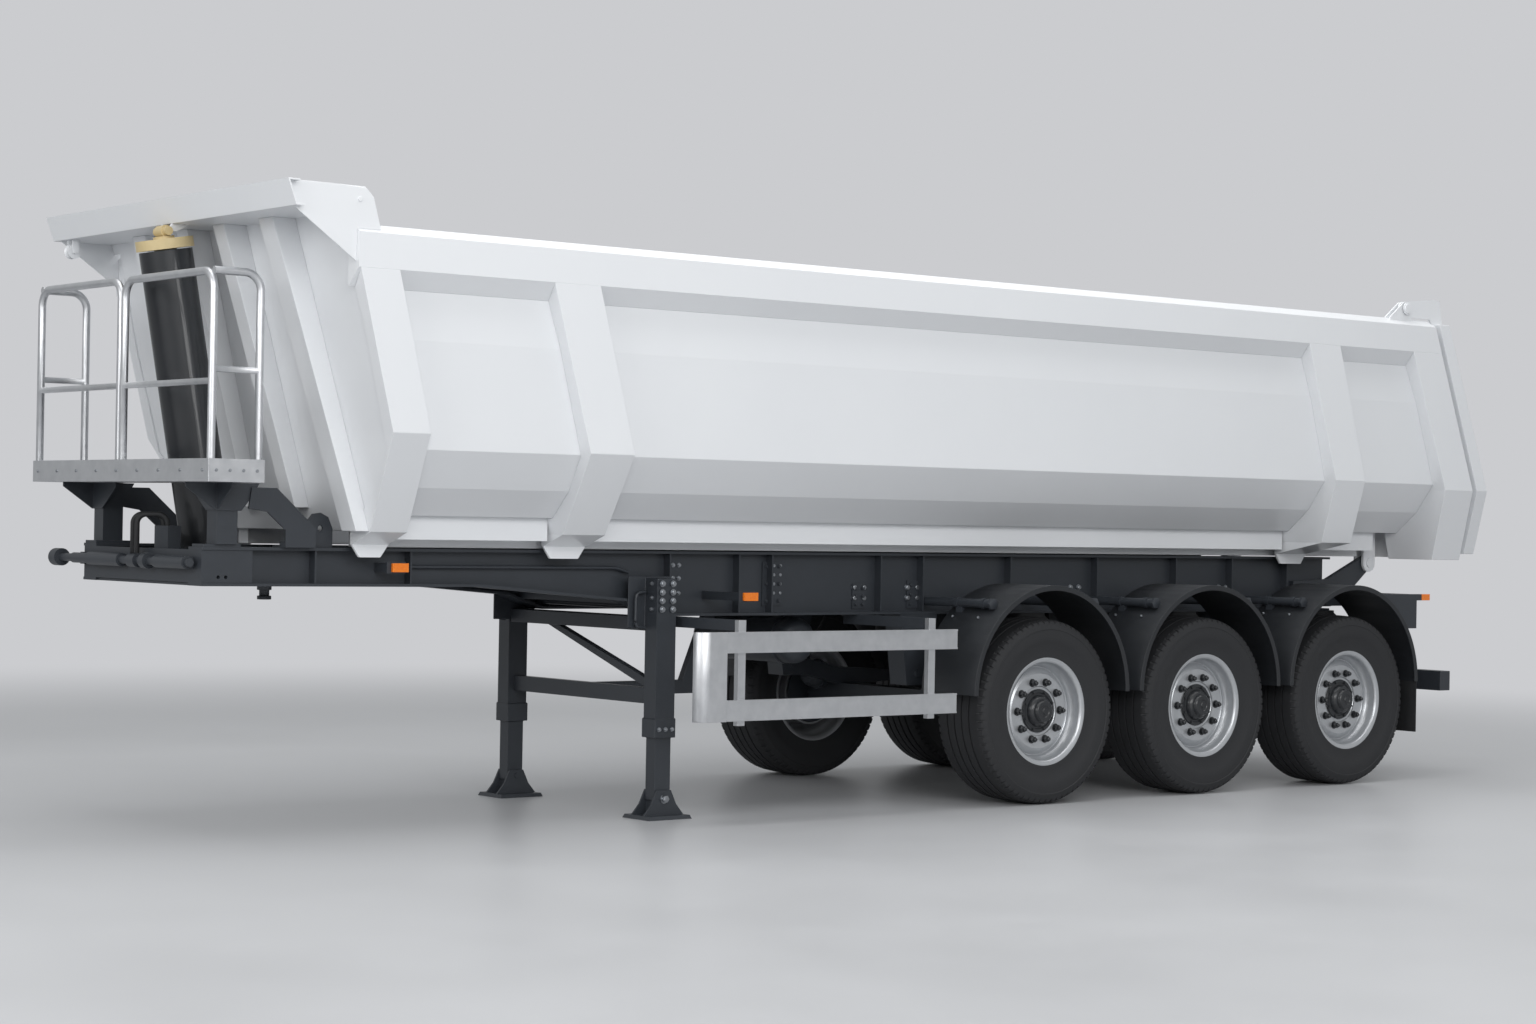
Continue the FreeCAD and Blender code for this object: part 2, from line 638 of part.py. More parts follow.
# hoist cradle: trunnion plates between the frame rails
TRUNNION_RADIUS = 35.0
BARREL_RADIUS = 130.0
CRADLE_IN = BARREL_RADIUS + 10.0
CRADLE = 20.0
cradle_plate = along_y([
    (HOIST_BASE_X - 120, NECK_BOTTOM + PLATE), (HOIST_BASE_X + 120, NECK_BOTTOM + PLATE),
    (HOIST_BASE_X + 60, HOIST_BASE_Z + 60), (HOIST_BASE_X - 60, HOIST_BASE_Z + 60),
], CRADLE_IN, CRADLE_IN + CRADLE)
cradle_plate = cradle_plate.cut(rod(vec(HOIST_BASE_X, 0, HOIST_BASE_Z),
                                    vec(HOIST_BASE_X, 300, HOIST_BASE_Z),
                                    TRUNNION_RADIUS + PIN_GAP))
for x in (HOIST_BASE_X - 100, HOIST_BASE_X + 80):
    tie = box(x, x + 20, CRADLE_IN + CRADLE, web_inner, NECK_BOTTOM + PLATE, NECK_BOTTOM + 110)
    cradle_plate = fused([cradle_plate, tie])
keep("hoist_cradle", *both(cradle_plate.cut(rail_left)))

# ---------------------------------------------------------------- hoist
BARREL_LOW = 20.0
BARREL_FOOT = (-45.0, 60.0)      # lower end and radius of the narrow foot
BARREL_HIGH = 1562.0
STAGE_RADII = [95.5, 84.5, 74.5, 64.5, 55.0]
STAGE_GAP = 0.9
STAGE_LOW = 120.0
CAP_RADIUS = 141.0


def on_hoist(distance):
    return HOIST_BASE + HOIST_AXIS * distance


def hoist_tube(low, high, radius, bore):
    return rod(on_hoist(low), on_hoist(high), radius, bore)


barrel = hoist_tube(BARREL_LOW, BARREL_HIGH, BARREL_RADIUS, 0)
barrel = barrel.cut(hoist_tube(STAGE_LOW - 20, BARREL_HIGH + 10, STAGE_RADII[0] + STAGE_GAP, 0))
trunnion = rod(vec(HOIST_BASE_X, -CRADLE_IN - CRADLE, HOIST_BASE_Z),
               vec(HOIST_BASE_X, CRADLE_IN + CRADLE, HOIST_BASE_Z), TRUNNION_RADIUS)
foot = hoist_tube(BARREL_FOOT[0], BARREL_LOW, BARREL_FOOT[1], 0)
keep("hoist_barrel", fused([barrel, foot, trunnion]))

for number, radius in enumerate(STAGE_RADII, start=1):
    low = STAGE_LOW - 15.0 + 3.0 * number
    last = number == len(STAGE_RADII)
    if last:
        stage = hoist_tube(low, BARREL_HIGH + 6, radius, 0)
        cap = hoist_tube(BARREL_HIGH + 6, BARREL_HIGH + 56, CAP_RADIUS, 0)
        neck = hoist_tube(BARREL_HIGH + 56, HOIST_LENGTH - 24, 52.0, 0)
        eye = rod(EYE - vec(0, CHEEK_GAP - RUN, 0), EYE + vec(0, CHEEK_GAP - RUN, 0), EYE_RADIUS)
        cross = rod(EYE - vec(0, CHEEK_GAP + CHEEK + 6, 0), EYE + vec(0, CHEEK_GAP + CHEEK + 6, 0),
                    EYE_PIN_RADIUS)
        stage = fused([stage, cap, neck, eye, cross])
    else:
        stage = hoist_tube(low, BARREL_HIGH - 2, radius, STAGE_RADII[number] + STAGE_GAP)
    keep("hoist_stage_%d" % number, stage)

# ---------------------------------------------------------------- walkway
SHEET = 4.0
skirt_outer = box(DECK_REAR, DECK_FRONT, -DECK_HALF_WIDTH, DECK_HALF_WIDTH,
                  DECK_TOP - SKIRT_HEIGHT, DECK_TOP)
skirt_inner = box(DECK_REAR + SHEET, DECK_FRONT - SHEET, -DECK_HALF_WIDTH + SHEET,
                  DECK_HALF_WIDTH - SHEET, DECK_TOP - SKIRT_HEIGHT + SHEET, DECK_TOP + 1)
keep("walkway_deck", skirt_outer.cut(skirt_inner))

TUBE_RADIUS = 19.0
RAIL_HIGH = 2685.0
RAIL_MID = 2175.0
RAIL_BEND = 85.0
POST_FRONT = DECK_FRONT - SHEET - TUBE_RADIUS - 1
POST_REAR = DECK_REAR + SHEET + TUBE_RADIUS + 1
POST_OUT = DECK_HALF_WIDTH - SHEET - TUBE_RADIUS - 1
DECK_SEAT = DECK_TOP - SKIRT_HEIGHT + SHEET


def hoop(points):
    return bent_tube([vec(*p) for p in points], TUBE_RADIUS, RAIL_BEND)


MID_POST = TUBE_RADIUS + 2
front_hoop = hoop([
    (POST_FRONT, MID_POST, DECK_SEAT), (POST_FRONT, MID_POST, RAIL_HIGH),
    (POST_FRONT, POST_OUT, RAIL_HIGH), (POST_FRONT, POST_OUT, DECK_SEAT)])
front_mid = rod(vec(POST_FRONT, MID_POST, RAIL_MID), vec(POST_FRONT, POST_OUT, RAIL_MID), 15.0)
side_post = bent_tube([vec(POST_REAR, POST_OUT, DECK_SEAT), vec(POST_REAR, POST_OUT, RAIL_HIGH),
                       vec(POST_FRONT, POST_OUT, RAIL_HIGH)], TUBE_RADIUS, RAIL_BEND)
side_mid = rod(vec(POST_REAR, POST_OUT, RAIL_MID + 55), vec(POST_FRONT, POST_OUT, RAIL_MID + 55),
               15.0)
half_cage = fused([front_hoop, side_post, front_mid, side_mid])
link = rod(vec(POST_FRONT, -MID_POST, RAIL_MID), vec(POST_FRONT, MID_POST, RAIL_MID), 12.0)
keep("walkway_railing", fused([half_cage, mirrored(half_cage), link]))

# walkway posts, brackets and stays
POST_Y = 600.0
POST_X0, POST_X1 = 4838.0, 4947.0
DECK_UNDER = DECK_TOP - SKIRT_HEIGHT


def walkway_support():
    post = box(POST_X0, POST_X1, POST_Y - 50, POST_Y + 50, FRAME_TOP + 14, DECK_UNDER)
    base = box(POST_X0 - 31, POST_X1 + 55, POST_Y - 90, POST_Y + 29, FRAME_TOP, FRAME_TOP + 14)
    gusset = along_x([(POST_Y - 200, DECK_UNDER), (POST_Y - 200, DECK_UNDER - 24),
                      (POST_Y - 52, DECK_UNDER - 130), (POST_Y + 52, DECK_UNDER - 130),
                      (POST_Y + 200, DECK_UNDER - 24), (POST_Y + 200, DECK_UNDER)],
                     POST_X1, POST_X1 + 8)
    wide = along_y([(POST_X1 + 170, DECK_UNDER), (POST_X1 + 170, DECK_UNDER - 22),
                    (POST_X1 + 10, DECK_UNDER - 132), (POST_X0 - 15, DECK_UNDER - 132),
                    (POST_X0 - 75, DECK_UNDER - 60), (POST_X0 - 110, DECK_UNDER),
                    ], POST_Y + 50, POST_Y + 58)
    stay = along_y([(4775.0, DECK_UNDER - 20), (4640.0, DECK_UNDER - 20), (4425.0, 1500.0),
                    (4425.0, FRAME_TOP + 1), (4590.0, FRAME_TOP + 1), (4590.0, 1490.0),
                    (4690.0, 1575.0), (4790.0, 1590.0)], POST_Y + 58, POST_Y + 70)
    foot = box(4436.0, 4590.0, POST_Y - 60, POST_Y + 29, FRAME_TOP, FRAME_TOP + 10)
    web = box(4436.0, 4590.0, POST_Y + 10, POST_Y + 58, FRAME_TOP, FRAME_TOP + 30)
    lug = along_y([(4296.0, FRAME_TOP), (4296.0, 1500.0), (4320.0, 1555.0), (4363.0, 1576.0),
                   (4405.0, 1570.0), (4431.0, 1540.0), (4431.0, FRAME_TOP)],
                  POST_Y - 10, POST_Y + 4)
    hole = rod(vec(4363.0, 500, 1500.0), vec(4363.0, 700, 1500.0), 14.0)
    return fused([post, base, gusset, wide, stay, foot, web]), lug.cut(hole)


for part in walkway_support():
    keep("walkway_supports", *both(part))

# ---------------------------------------------------------------- landing legs
LEG_Y = 692.0
LEG_WIDE = 125.0
LEG_DEEP = 105.0
LEG_TOP = 1262.0
LEG_BOTTOM = 425.0
MOUNT_IN = WEB_CENTRE_Y + FLANGE_HALF
MOUNT_OUT = LEG_Y - LEG_DEEP / 2


def landing_leg():
    x0, x1 = LEG_X - LEG_WIDE / 2, LEG_X + LEG_WIDE / 2
    y0, y1 = LEG_Y - LEG_DEEP / 2, LEG_Y + LEG_DEEP / 2
    tube = box(x0, x1, y0, y1, LEG_BOTTOM, LEG_TOP)
    collar = box(x0 - 6, x1 + 6, y0 - 6, y1 + 6, LEG_BOTTOM, LEG_BOTTOM + 100)
    inner = box(x0 + 12, x1 - 12, y0 + 12, y1 - 12, 95.0, LEG_BOTTOM)
    plate = box(x0 - 40, x1 + 110, MOUNT_IN, MOUNT_OUT, 1000.0, LEG_TOP + 10)
    return fused([tube, collar, inner, plate])


keep("landing_legs", *both(landing_leg()))

FOOT_LONG = 281.0
FOOT_WIDE = 236.0


def landing_foot():
    x0, x1 = LEG_X - FOOT_LONG / 2, LEG_X + FOOT_LONG / 2
    y0, y1 = LEG_Y - FOOT_WIDE / 2, LEG_Y + FOOT_WIDE / 2
    plate = tapered((x0, x1, y0, y1, 0.0), (x0 + 8, x1 - 8, y0 + 8, y1 - 8, 20.0))
    ears = []
    for y in (LEG_Y - 58.0, LEG_Y + 46.0):
        ears.append(along_y([(x0 + 12, 20.0), (x0 + 60, 75.0), (LEG_X - 45, 150.0),
                             (LEG_X + 45, 150.0), (x1 - 60, 75.0), (x1 - 12, 20.0)], y, y + 12))
    pin = rod(vec(LEG_X, LEG_Y - 66, 118.0), vec(LEG_X, LEG_Y + 66, 118.0), 14.0)
    seat = box(LEG_X - 40, LEG_X + 40, LEG_Y - 46, LEG_Y + 46, 20.0, 95.0)
    return fused([plate, seat, pin] + ears)


leg_body = landing_leg()
keep("landing_feet", *both(landing_foot().cut(leg_body)))

CROSS_Z = 640.0
leg_in = LEG_Y - LEG_DEEP / 2
cross_bar = box(LEG_X - 25, LEG_X + 25, -leg_in, leg_in, CROSS_Z - 42, CROSS_Z + 42)
diagonal = along_x([(-430.0, 1050.0), (-520.0, 1050.0), (leg_in - 40, CROSS_Z + 42),
                    (leg_in, CROSS_Z + 42), (leg_in, CROSS_Z + 80)], LEG_X - 20, LEG_X + 20)
deep_beam = box(LEG_X - 60, LEG_X + 60, -MOUNT_IN, MOUNT_IN, 985.0, 1058.0)
rear_bar = box(1700.0, LEG_X - 25, -22.0, 22.0, CROSS_Z - 38, CROSS_Z + 38)
rear_rise = along_y([(1700.0, CROSS_Z - 38), (1700.0, CROSS_Z + 38), (1520.0, 1110.0),
                     (1450.0, 1110.0), (1620.0, CROSS_Z - 38)], -22.0, 22.0)
keep("landing_brace", fused([cross_bar, diagonal, deep_beam, rear_bar, rear_rise])
     .cut(box(1400, 1600, -100, 100, 1110, 1400)))

# ---------------------------------------------------------------- side guard, left side only
GUARD_FRONT = 2517.0
GUARD_REAR = 745.0
GUARD_BARS = [(542.0, 650.0), (892.0, 1000.0)]
GUARD_END_REAR = 2345.0
GUARD_THICK = 26.0
UPRIGHTS = [2229.0, 910.0]
CURVE = 66.0


def guard_end():
    """Upright extrusion that closes the front of the guard, curving inwards."""
    y = HALF_WIDTH
    edges = []
    outer_start = vec(GUARD_END_REAR, y, 540.0)
    outer_bend = vec(GUARD_FRONT - CURVE, y, 540.0)
    middle = vec(GUARD_FRONT - CURVE + CURVE * math.sin(math.pi / 4),
                 y - CURVE + CURVE * math.cos(math.pi / 4), 540.0)
    tip = vec(GUARD_FRONT, y - CURVE, 540.0)
    inner = CURVE - GUARD_THICK
    tip_in = vec(GUARD_FRONT - GUARD_THICK, y - CURVE, 540.0)
    middle_in = vec(GUARD_FRONT - CURVE + inner * math.sin(math.pi / 4),
                    y - CURVE + inner * math.cos(math.pi / 4), 540.0)
    inner_bend = vec(GUARD_FRONT - CURVE, y - GUARD_THICK, 540.0)
    inner_start = vec(GUARD_END_REAR, y - GUARD_THICK, 540.0)
    edges.append(Part.LineSegment(outer_start, outer_bend).toShape())
    edges.append(Part.Arc(outer_bend, middle, tip).toShape())
    edges.append(Part.LineSegment(tip, tip_in).toShape())
    edges.append(Part.Arc(tip_in, middle_in, inner_bend).toShape())
    edges.append(Part.LineSegment(inner_bend, inner_start).toShape())
    edges.append(Part.LineSegment(inner_start, outer_start).toShape())
    return Part.Face(Part.Wire(edges)).extrude(vec(0, 0, 460.0))


def side_guard():
    bars = [box(GUARD_REAR, GUARD_END_REAR, HALF_WIDTH - GUARD_THICK, HALF_WIDTH - 1, z0, z1)
            for z0, z1 in GUARD_BARS]
    posts = [box(x - 24, x + 24, HALF_WIDTH - GUARD_THICK - 34, HALF_WIDTH - GUARD_THICK,
                 515.0, DEEP_BOTTOM) for x in UPRIGHTS]
    return fused(bars + posts + [guard_end()])


keep("side_guards", side_guard())

guard_arms = []
for x in UPRIGHTS:
    arm = box(x - 20, x + 20, WEB_CENTRE_Y - 60, HALF_WIDTH - GUARD_THICK - 34,
              DEEP_BOTTOM - 56, DEEP_BOTTOM)
    guard_arms.append(arm.cut(deep_beam))
keep("frame_brackets", *guard_arms)

# ---------------------------------------------------------------- mudguards
GUARD_RADIUS = 610.0
GUARD_SHEET = 8.0
GUARD_CENTRE_Z = TYRE_RADIUS + 105.0
GUARD_IN_Y = 812.0
LIP = 22.0
STAY_RADIUS = 25.0
STAY_X = 400.0
STAY_Z = GUARD_CENTRE_Z + math.sqrt(GUARD_RADIUS ** 2 - STAY_X ** 2) + STAY_RADIUS + 18.0
AXLE_X = [-AXLE_SPACING * i for i in range(AXLE_COUNT)]


def half_ring(x, outer, inner, y0, y1):
    ring = rod(vec(x, y0, GUARD_CENTRE_Z), vec(x, y1, GUARD_CENTRE_Z), outer, inner)
    return ring.common(box(x - 700, x + 700, y0 - 1, y1 + 1, GUARD_CENTRE_Z, 1400.0))


for x in AXLE_X:
    shell = half_ring(x, GUARD_RADIUS, GUARD_RADIUS - GUARD_SHEET, GUARD_IN_Y, HALF_WIDTH)
    lip = half_ring(x, GUARD_RADIUS, GUARD_RADIUS - GUARD_SHEET - LIP,
                    HALF_WIDTH - GUARD_SHEET, HALF_WIDTH)
    keep("mudguards", *both(fused([shell, lip])))
    for shift in (STAY_X,) if x == AXLE_X[-1] else (STAY_X, -STAY_X):
        stay = rod(vec(x + shift, WEB_CENTRE_Y + WEB / 2, STAY_Z),
                   vec(x + shift, HALF_WIDTH - 95, STAY_Z), STAY_RADIUS)
        saddle = box(x + shift - 14, x + shift + 14, GUARD_IN_Y + 60, GUARD_IN_Y + 110,
                     STAY_Z - 90, STAY_Z)
        outside = rod(vec(x, 0, GUARD_CENTRE_Z), vec(x, 1300, GUARD_CENTRE_Z), GUARD_RADIUS + 0.3)
        keep("mudguard_stays", *both(fused([stay, saddle.cut(outside)]).cut(rail_left)))

FLAP_X = AXLE_X[-1] - GUARD_RADIUS
mudflap = box(FLAP_X, FLAP_X + 8, GUARD_IN_Y + 6, HALF_WIDTH - 10, 310.0, GUARD_CENTRE_Z)
keep("mudflaps", *both(mudflap))

# ---------------------------------------------------------------- running gear
AXLE_Z = TYRE_RADIUS
BEAM_HALF = 70.0
BEAM_END = 820.0
SPINDLE_RADIUS = 45.0
SPINDLE_END = WHEEL_CENTRE_Y + 70.0
BACKPLATE = (WHEEL_CENTRE_Y - 142.0, WHEEL_CENTRE_Y - 134.0)
ARM_Y0, ARM_Y1 = 505.0, 605.0
HANGER_X = 480.0
SPRING_X = -430.0
HANGER_Z = 720.0
BOLT_RADIUS = 20.0


def axle(x):
    beam = box(x - BEAM_HALF, x + BEAM_HALF, -BEAM_END, BEAM_END,
               AXLE_Z - BEAM_HALF, AXLE_Z + BEAM_HALF)
    spindle = rod(vec(x, -SPINDLE_END, AXLE_Z), vec(x, SPINDLE_END, AXLE_Z), SPINDLE_RADIUS)
    plates = [rod(vec(x, BACKPLATE[0], AXLE_Z), vec(x, BACKPLATE[1], AXLE_Z), 192.0)]
    return fused([beam, spindle] + [p for plate in plates for p in both(plate)])


def suspension_arm(x):
    top = AXLE_Z + BEAM_HALF
    arm = along_y([
        (x + HANGER_X + 45, HANGER_Z - 45), (x + HANGER_X + 45, HANGER_Z + 30),
        (x + HANGER_X - 40, HANGER_Z + 50), (x + 100, top + 100), (x - 120, top + 90),
        (x + SPRING_X - 120, top + 60), (x + SPRING_X - 120, top + 25),
        (x - 120, top), (x + 110, top), (x + HANGER_X - 60, HANGER_Z - 50),
    ], ARM_Y0, ARM_Y1)
    bore = rod(vec(x + HANGER_X, 400, HANGER_Z), vec(x + HANGER_X, 700, HANGER_Z),
               BOLT_RADIUS + PIN_GAP)
    return arm.cut(bore)


def hanger(x):
    cheeks = []
    for y0, y1 in ((ARM_Y0 - 20, ARM_Y0 - 6), (ARM_Y1 + 6, ARM_Y1 + 20)):
        cheeks.append(along_y([
            (x + HANGER_X + 130, DEEP_BOTTOM), (x + HANGER_X - 150, DEEP_BOTTOM),
            (x + HANGER_X - 75, HANGER_Z - 65), (x + HANGER_X + 75, HANGER_Z - 65)], y0, y1))
    front = along_y([
        (x + HANGER_X + 130, DEEP_BOTTOM), (x + HANGER_X + 116, DEEP_BOTTOM),
        (x + HANGER_X + 64, HANGER_Z - 60), (x + HANGER_X + 75, HANGER_Z - 65)],
        ARM_Y0 - 6, ARM_Y1 + 6)
    pin = rod(vec(x + HANGER_X, ARM_Y0 - 34, HANGER_Z), vec(x + HANGER_X, ARM_Y1 + 34, HANGER_Z),
              BOLT_RADIUS)
    return fused(cheeks + [front, pin])


def air_spring(x):
    foot = AXLE_Z + BEAM_HALF + 68.0
    y = (ARM_Y0 + ARM_Y1) / 2
    profile = [
        (0.0, foot), (95.0, foot), (88.0, foot + 110), (118.0, foot + 125), (146.0, foot + 165),
        (150.0, foot + 240), (143.0, DEEP_BOTTOM - 36), (120.0, DEEP_BOTTOM - 14),
        (120.0, DEEP_BOTTOM), (0.0, DEEP_BOTTOM),
    ]
    centre = x + SPRING_X
    return polygon([vec(centre + r, y, z) for r, z in profile]).revolve(
        vec(centre, y, 0), vec(0, 0, 1), 360)


for x in AXLE_X:
    axle_beam = axle(x)
    keep("axles", axle_beam)
    arm = suspension_arm(x)
    keep("suspension_arms", *both(arm))
    keep("suspension_hangers", *both(hanger(x)))
    keep("air_springs", *both(air_spring(x).cut(arm)))

# tyre and wheel sections: (offset outboard of the wheel's centre, radius)
BEAD_RADIUS = 286.0
BEAD_HALF = 150.0
half_tyre = TYRE_WIDTH / 2
tyre_profile = [
    (-BEAD_HALF + 2, BEAD_RADIUS + PIN_GAP), (-BEAD_HALF - 3, 312.0), (-half_tyre + 16, 345.0),
    (-half_tyre, 400.0), (-half_tyre + 4, 450.0), (-half_tyre + 22, 497.0),
    (-half_tyre + 38, 514.0), (-half_tyre + 60, TYRE_RADIUS - 3), (0.0, TYRE_RADIUS),
    (half_tyre - 60, TYRE_RADIUS - 3), (half_tyre - 38, 514.0), (half_tyre - 22, 497.0),
    (half_tyre - 4, 450.0), (half_tyre, 400.0), (half_tyre - 16, 345.0),
    (BEAD_HALF + 3, 312.0), (BEAD_HALF - 2, BEAD_RADIUS + PIN_GAP),
]
HUB_BORE = SPINDLE_RADIUS + PIN_GAP
wheel_profile = [
    # outer side of the barrel, from the outboard flange inwards
    (168.0, 306.0), (158.0, 306.0), (152.0, BEAD_RADIUS), (110.0, 284.0), (80.0, 262.0),
    (-80.0, 262.0), (-110.0, 284.0), (-152.0, BEAD_RADIUS), (-158.0, 306.0), (-168.0, 306.0),
    # inner side of the barrel, back to the disc
    (-168.0, 298.0), (-160.0, 278.0), (-112.0, 275.0), (-84.0, 253.0), (54.0, 253.0),
    # disc and hub
    (78.0, 228.0), (92.0, 208.0), (92.0, 150.0), (60.0, 130.0), (-60.0, 130.0), (-60.0, 205.0),
    (-128.0, 205.0), (-128.0, 195.0), (-70.0, 195.0), (-70.0, 100.0), (-128.0, 100.0),
    (-128.0, HUB_BORE), (78.0, HUB_BORE), (78.0, 0.0), (138.0, 0.0), (138.0, 66.0),
    (126.0, 78.0), (98.0, 82.0), (98.0, 118.0), (94.0, 140.0), (106.0, 142.0),
    (106.0, 212.0), (92.0, 234.0), (70.0, 253.0),
    # inside of the outboard barrel
    (84.0, 253.0), (112.0, 275.0), (160.0, 278.0), (168.0, 298.0),
]
for number, x in enumerate(AXLE_X, start=1):
    for side, name in ((1, "left"), (-1, "right")):
        keep("tyre_%s_%d" % (name, number),
             turned(tyre_profile, x, AXLE_Z, side, WHEEL_CENTRE_Y))
        keep("wheel_%s_%d" % (name, number),
             turned(wheel_profile, x, AXLE_Z, side, WHEEL_CENTRE_Y))

# ---------------------------------------------------------------- tipping arms on the chassis
ARM_HEAD = 50.0


def pivot_arm():
    plate = along_y([
        (-2780.0, 1110.0), (-2780.0, 1250.0), (-3110.0, 1262.0), (PIVOT_X + 70, PIVOT_Z + 26),
        (PIVOT_X + 10, PIVOT_Z + 49), (PIVOT_X - 30, PIVOT_Z - 40), (PIVOT_X + 190, 1160.0),
        (-3150.0, 1085.0), (-2900.0, 1085.0),
    ], ARM_IN, ARM_OUT)
    head = rod(vec(PIVOT_X, ARM_IN, PIVOT_Z), vec(PIVOT_X, ARM_OUT, PIVOT_Z), ARM_HEAD)
    bore = rod(vec(PIVOT_X, ARM_IN - 9, PIVOT_Z), vec(PIVOT_X, ARM_OUT + 9, PIVOT_Z),
               PIN_RADIUS + PIN_GAP)
    return fused([plate, head]).cut(bore).cut(rail_left)


keep("pivot_arms", *both(pivot_arm()))

# ---------------------------------------------------------------- tail: underrun bar, lamps
UNDERRUN_X = -3650.0
UNDERRUN_DEEP = 100.0
UNDERRUN_Z = (553.0, 679.0)
UNDERRUN_HALF = 1100.0
UNDERRUN_ARM_Y = 370.0
underrun_bar = box(UNDERRUN_X - UNDERRUN_DEEP, UNDERRUN_X, -UNDERRUN_HALF, UNDERRUN_HALF,
                   *UNDERRUN_Z)
tail_x, tail_deep, tail_bottom, tail_top = CROSSMEMBERS[-1]
underrun_arm = along_y([
    (tail_x + tail_deep, tail_bottom), (tail_x, tail_bottom), (UNDERRUN_X, UNDERRUN_Z[1]),
    (UNDERRUN_X, UNDERRUN_Z[0]), (UNDERRUN_X + 120, UNDERRUN_Z[0]),
], UNDERRUN_ARM_Y, UNDERRUN_ARM_Y + 24)
keep("rear_underrun", fused([underrun_bar, *both(underrun_arm)]))

BOARD_REAR = -3334.0
BOARD_Z = (962.0, 1180.0)
BOARD_OUT = 1150.0
LAMP = 26.0


def lamp_board():
    rear = box(BOARD_REAR, BOARD_REAR + 8, 640.0, BOARD_OUT, *BOARD_Z)
    side = along_y([(BOARD_REAR, BOARD_Z[1]), (-2945.0, BOARD_Z[1]), (-3185.0, BOARD_Z[0]),
                    (BOARD_REAR, BOARD_Z[0])], BOARD_OUT - 8, BOARD_OUT)
    top = box(BOARD_REAR, -3120.0, 640.0, BOARD_OUT, BOARD_Z[1] - 8, BOARD_Z[1])
    arm = box(BOARD_REAR, -3050.0, ARM_OUT, 648.0, 1090.0, BOARD_Z[1])
    ledge = box(BOARD_REAR - 60, BOARD_REAR + 8, BOARD_OUT - 40, BOARD_OUT - 8,
                1140.0, BOARD_Z[1])
    return fused([rear, side, top, arm, ledge]).cut(rail_left).cut(pivot_arm())


keep("lamp_boards", *both(lamp_board()))
red_lamp = box(BOARD_REAR - LAMP, BOARD_REAR, 760.0, BOARD_OUT - 50, 990.0, 1120.0)
keep("tail_lamps", *both(red_lamp))

# amber side markers: (x front, x rear, outer y, z low, z high)
MARKERS = [(4009.0, 3917.0, 700.0, 1290.0, 1334.0), (1966.0, 1871.0, 905.0, 1148.0, 1192.0)]
for front, rear, y, z0, z1 in MARKERS:
    lens = box(rear, front, y - 16, y, z0, z1)
    inner = WEB_CENTRE_Y + WEB / 2
    bracket = box(rear + 10, front + 25, y - 22, y - 16, z0 - 6, z1 + 6)
    arm = box(front, front + 25, inner, y - 22, z0, z1)
    keep("amber_lamps", *both(lens))
    keep("frame_brackets", *both(fused([bracket, arm]).cut(rail_left)))
rear_marker = box(BOARD_REAR - 143, BOARD_REAR - 60, BOARD_OUT - 40, BOARD_OUT - 8,
                  1140.0, BOARD_Z[1])
keep("amber_lamps", *both(rear_marker))

# ---------------------------------------------------------------- air tank and front couplings
TANK_RADIUS = 130.0
TANK_X = 1180.0
TANK_Z = DEEP_BOTTOM - TANK_RADIUS - 22.0
TANK_HALF = 430.0
tank = rod(vec(TANK_X, -TANK_HALF, TANK_Z), vec(TANK_X, TANK_HALF, TANK_Z), TANK_RADIUS)
tank = tank.makeFillet(60.0, [e for e in tank.Edges if e.Closed])
straps = []
for y in (-300.0, 300.0):
    ring = rod(vec(TANK_X, y - 20, TANK_Z), vec(TANK_X, y + 20, TANK_Z),
               TANK_RADIUS + 6, TANK_RADIUS)
    hang = box(TANK_X - 20, TANK_X + 20, y - 20, y + 20, TANK_Z + TANK_RADIUS + 3, 1110.0)
    straps.append(fused([ring, hang]))
tank_bearer = box(TANK_X - 40, TANK_X + 40, -web_inner, web_inner, 1110.0, 1160.0)
keep("crossmembers", tank_bearer.cut(rail_left).cut(mirrored(rail_left)))
keep("air_tank", tank, *straps)

PIPE_X = FRAME_FRONT + 42.0
PIPE_Z = 1330.0


def coupling_pipe():
    """Rotary coupling pipe across the front of the frame, with its clamps and end knob."""
    parts = [
        rod(vec(PIPE_X, -790, PIPE_Z), vec(PIPE_X, 590, PIPE_Z), 20.0),
        rod(vec(PIPE_X, 250, PIPE_Z), vec(PIPE_X, 560, PIPE_Z), 31.0),
        rod(vec(PIPE_X, -20, PIPE_Z), vec(PIPE_X, 60, PIPE_Z), 34.0),
        rod(vec(PIPE_X, 120, PIPE_Z), vec(PIPE_X, 170, PIPE_Z), 38.0),
        rod(vec(PIPE_X, -470, PIPE_Z), vec(PIPE_X, -120, PIPE_Z), 33.0),
        rod(vec(PIPE_X, -650, PIPE_Z), vec(PIPE_X, -470, PIPE_Z), 26.0),
        rod(vec(PIPE_X, -860, PIPE_Z), vec(PIPE_X, -790, PIPE_Z), 44.0),
    ]
    for y in (-560.0, 520.0):
        parts.append(box(FRAME_FRONT, PIPE_X, y - 20, y + 20, PIPE_Z - 30, PIPE_Z + 30))
    return fused(parts)


keep("coupling_pipe", coupling_pipe())
VALVE_X = 4935.0
VALVE_TOP = FRAME_TOP + 95.0
HOSE_CREST = VALVE_TOP + 55.0
valve = box(VALVE_X - 35, VALVE_X + 35, 60.0, 200.0, FRAME_TOP - 14, VALVE_TOP)
valve_plate = box(4880.0, FRAME_FRONT - 12, 30.0, 230.0, FRAME_TOP - 24, FRAME_TOP - 14)
keep("coupling_pipe", fused([valve, valve_plate]))

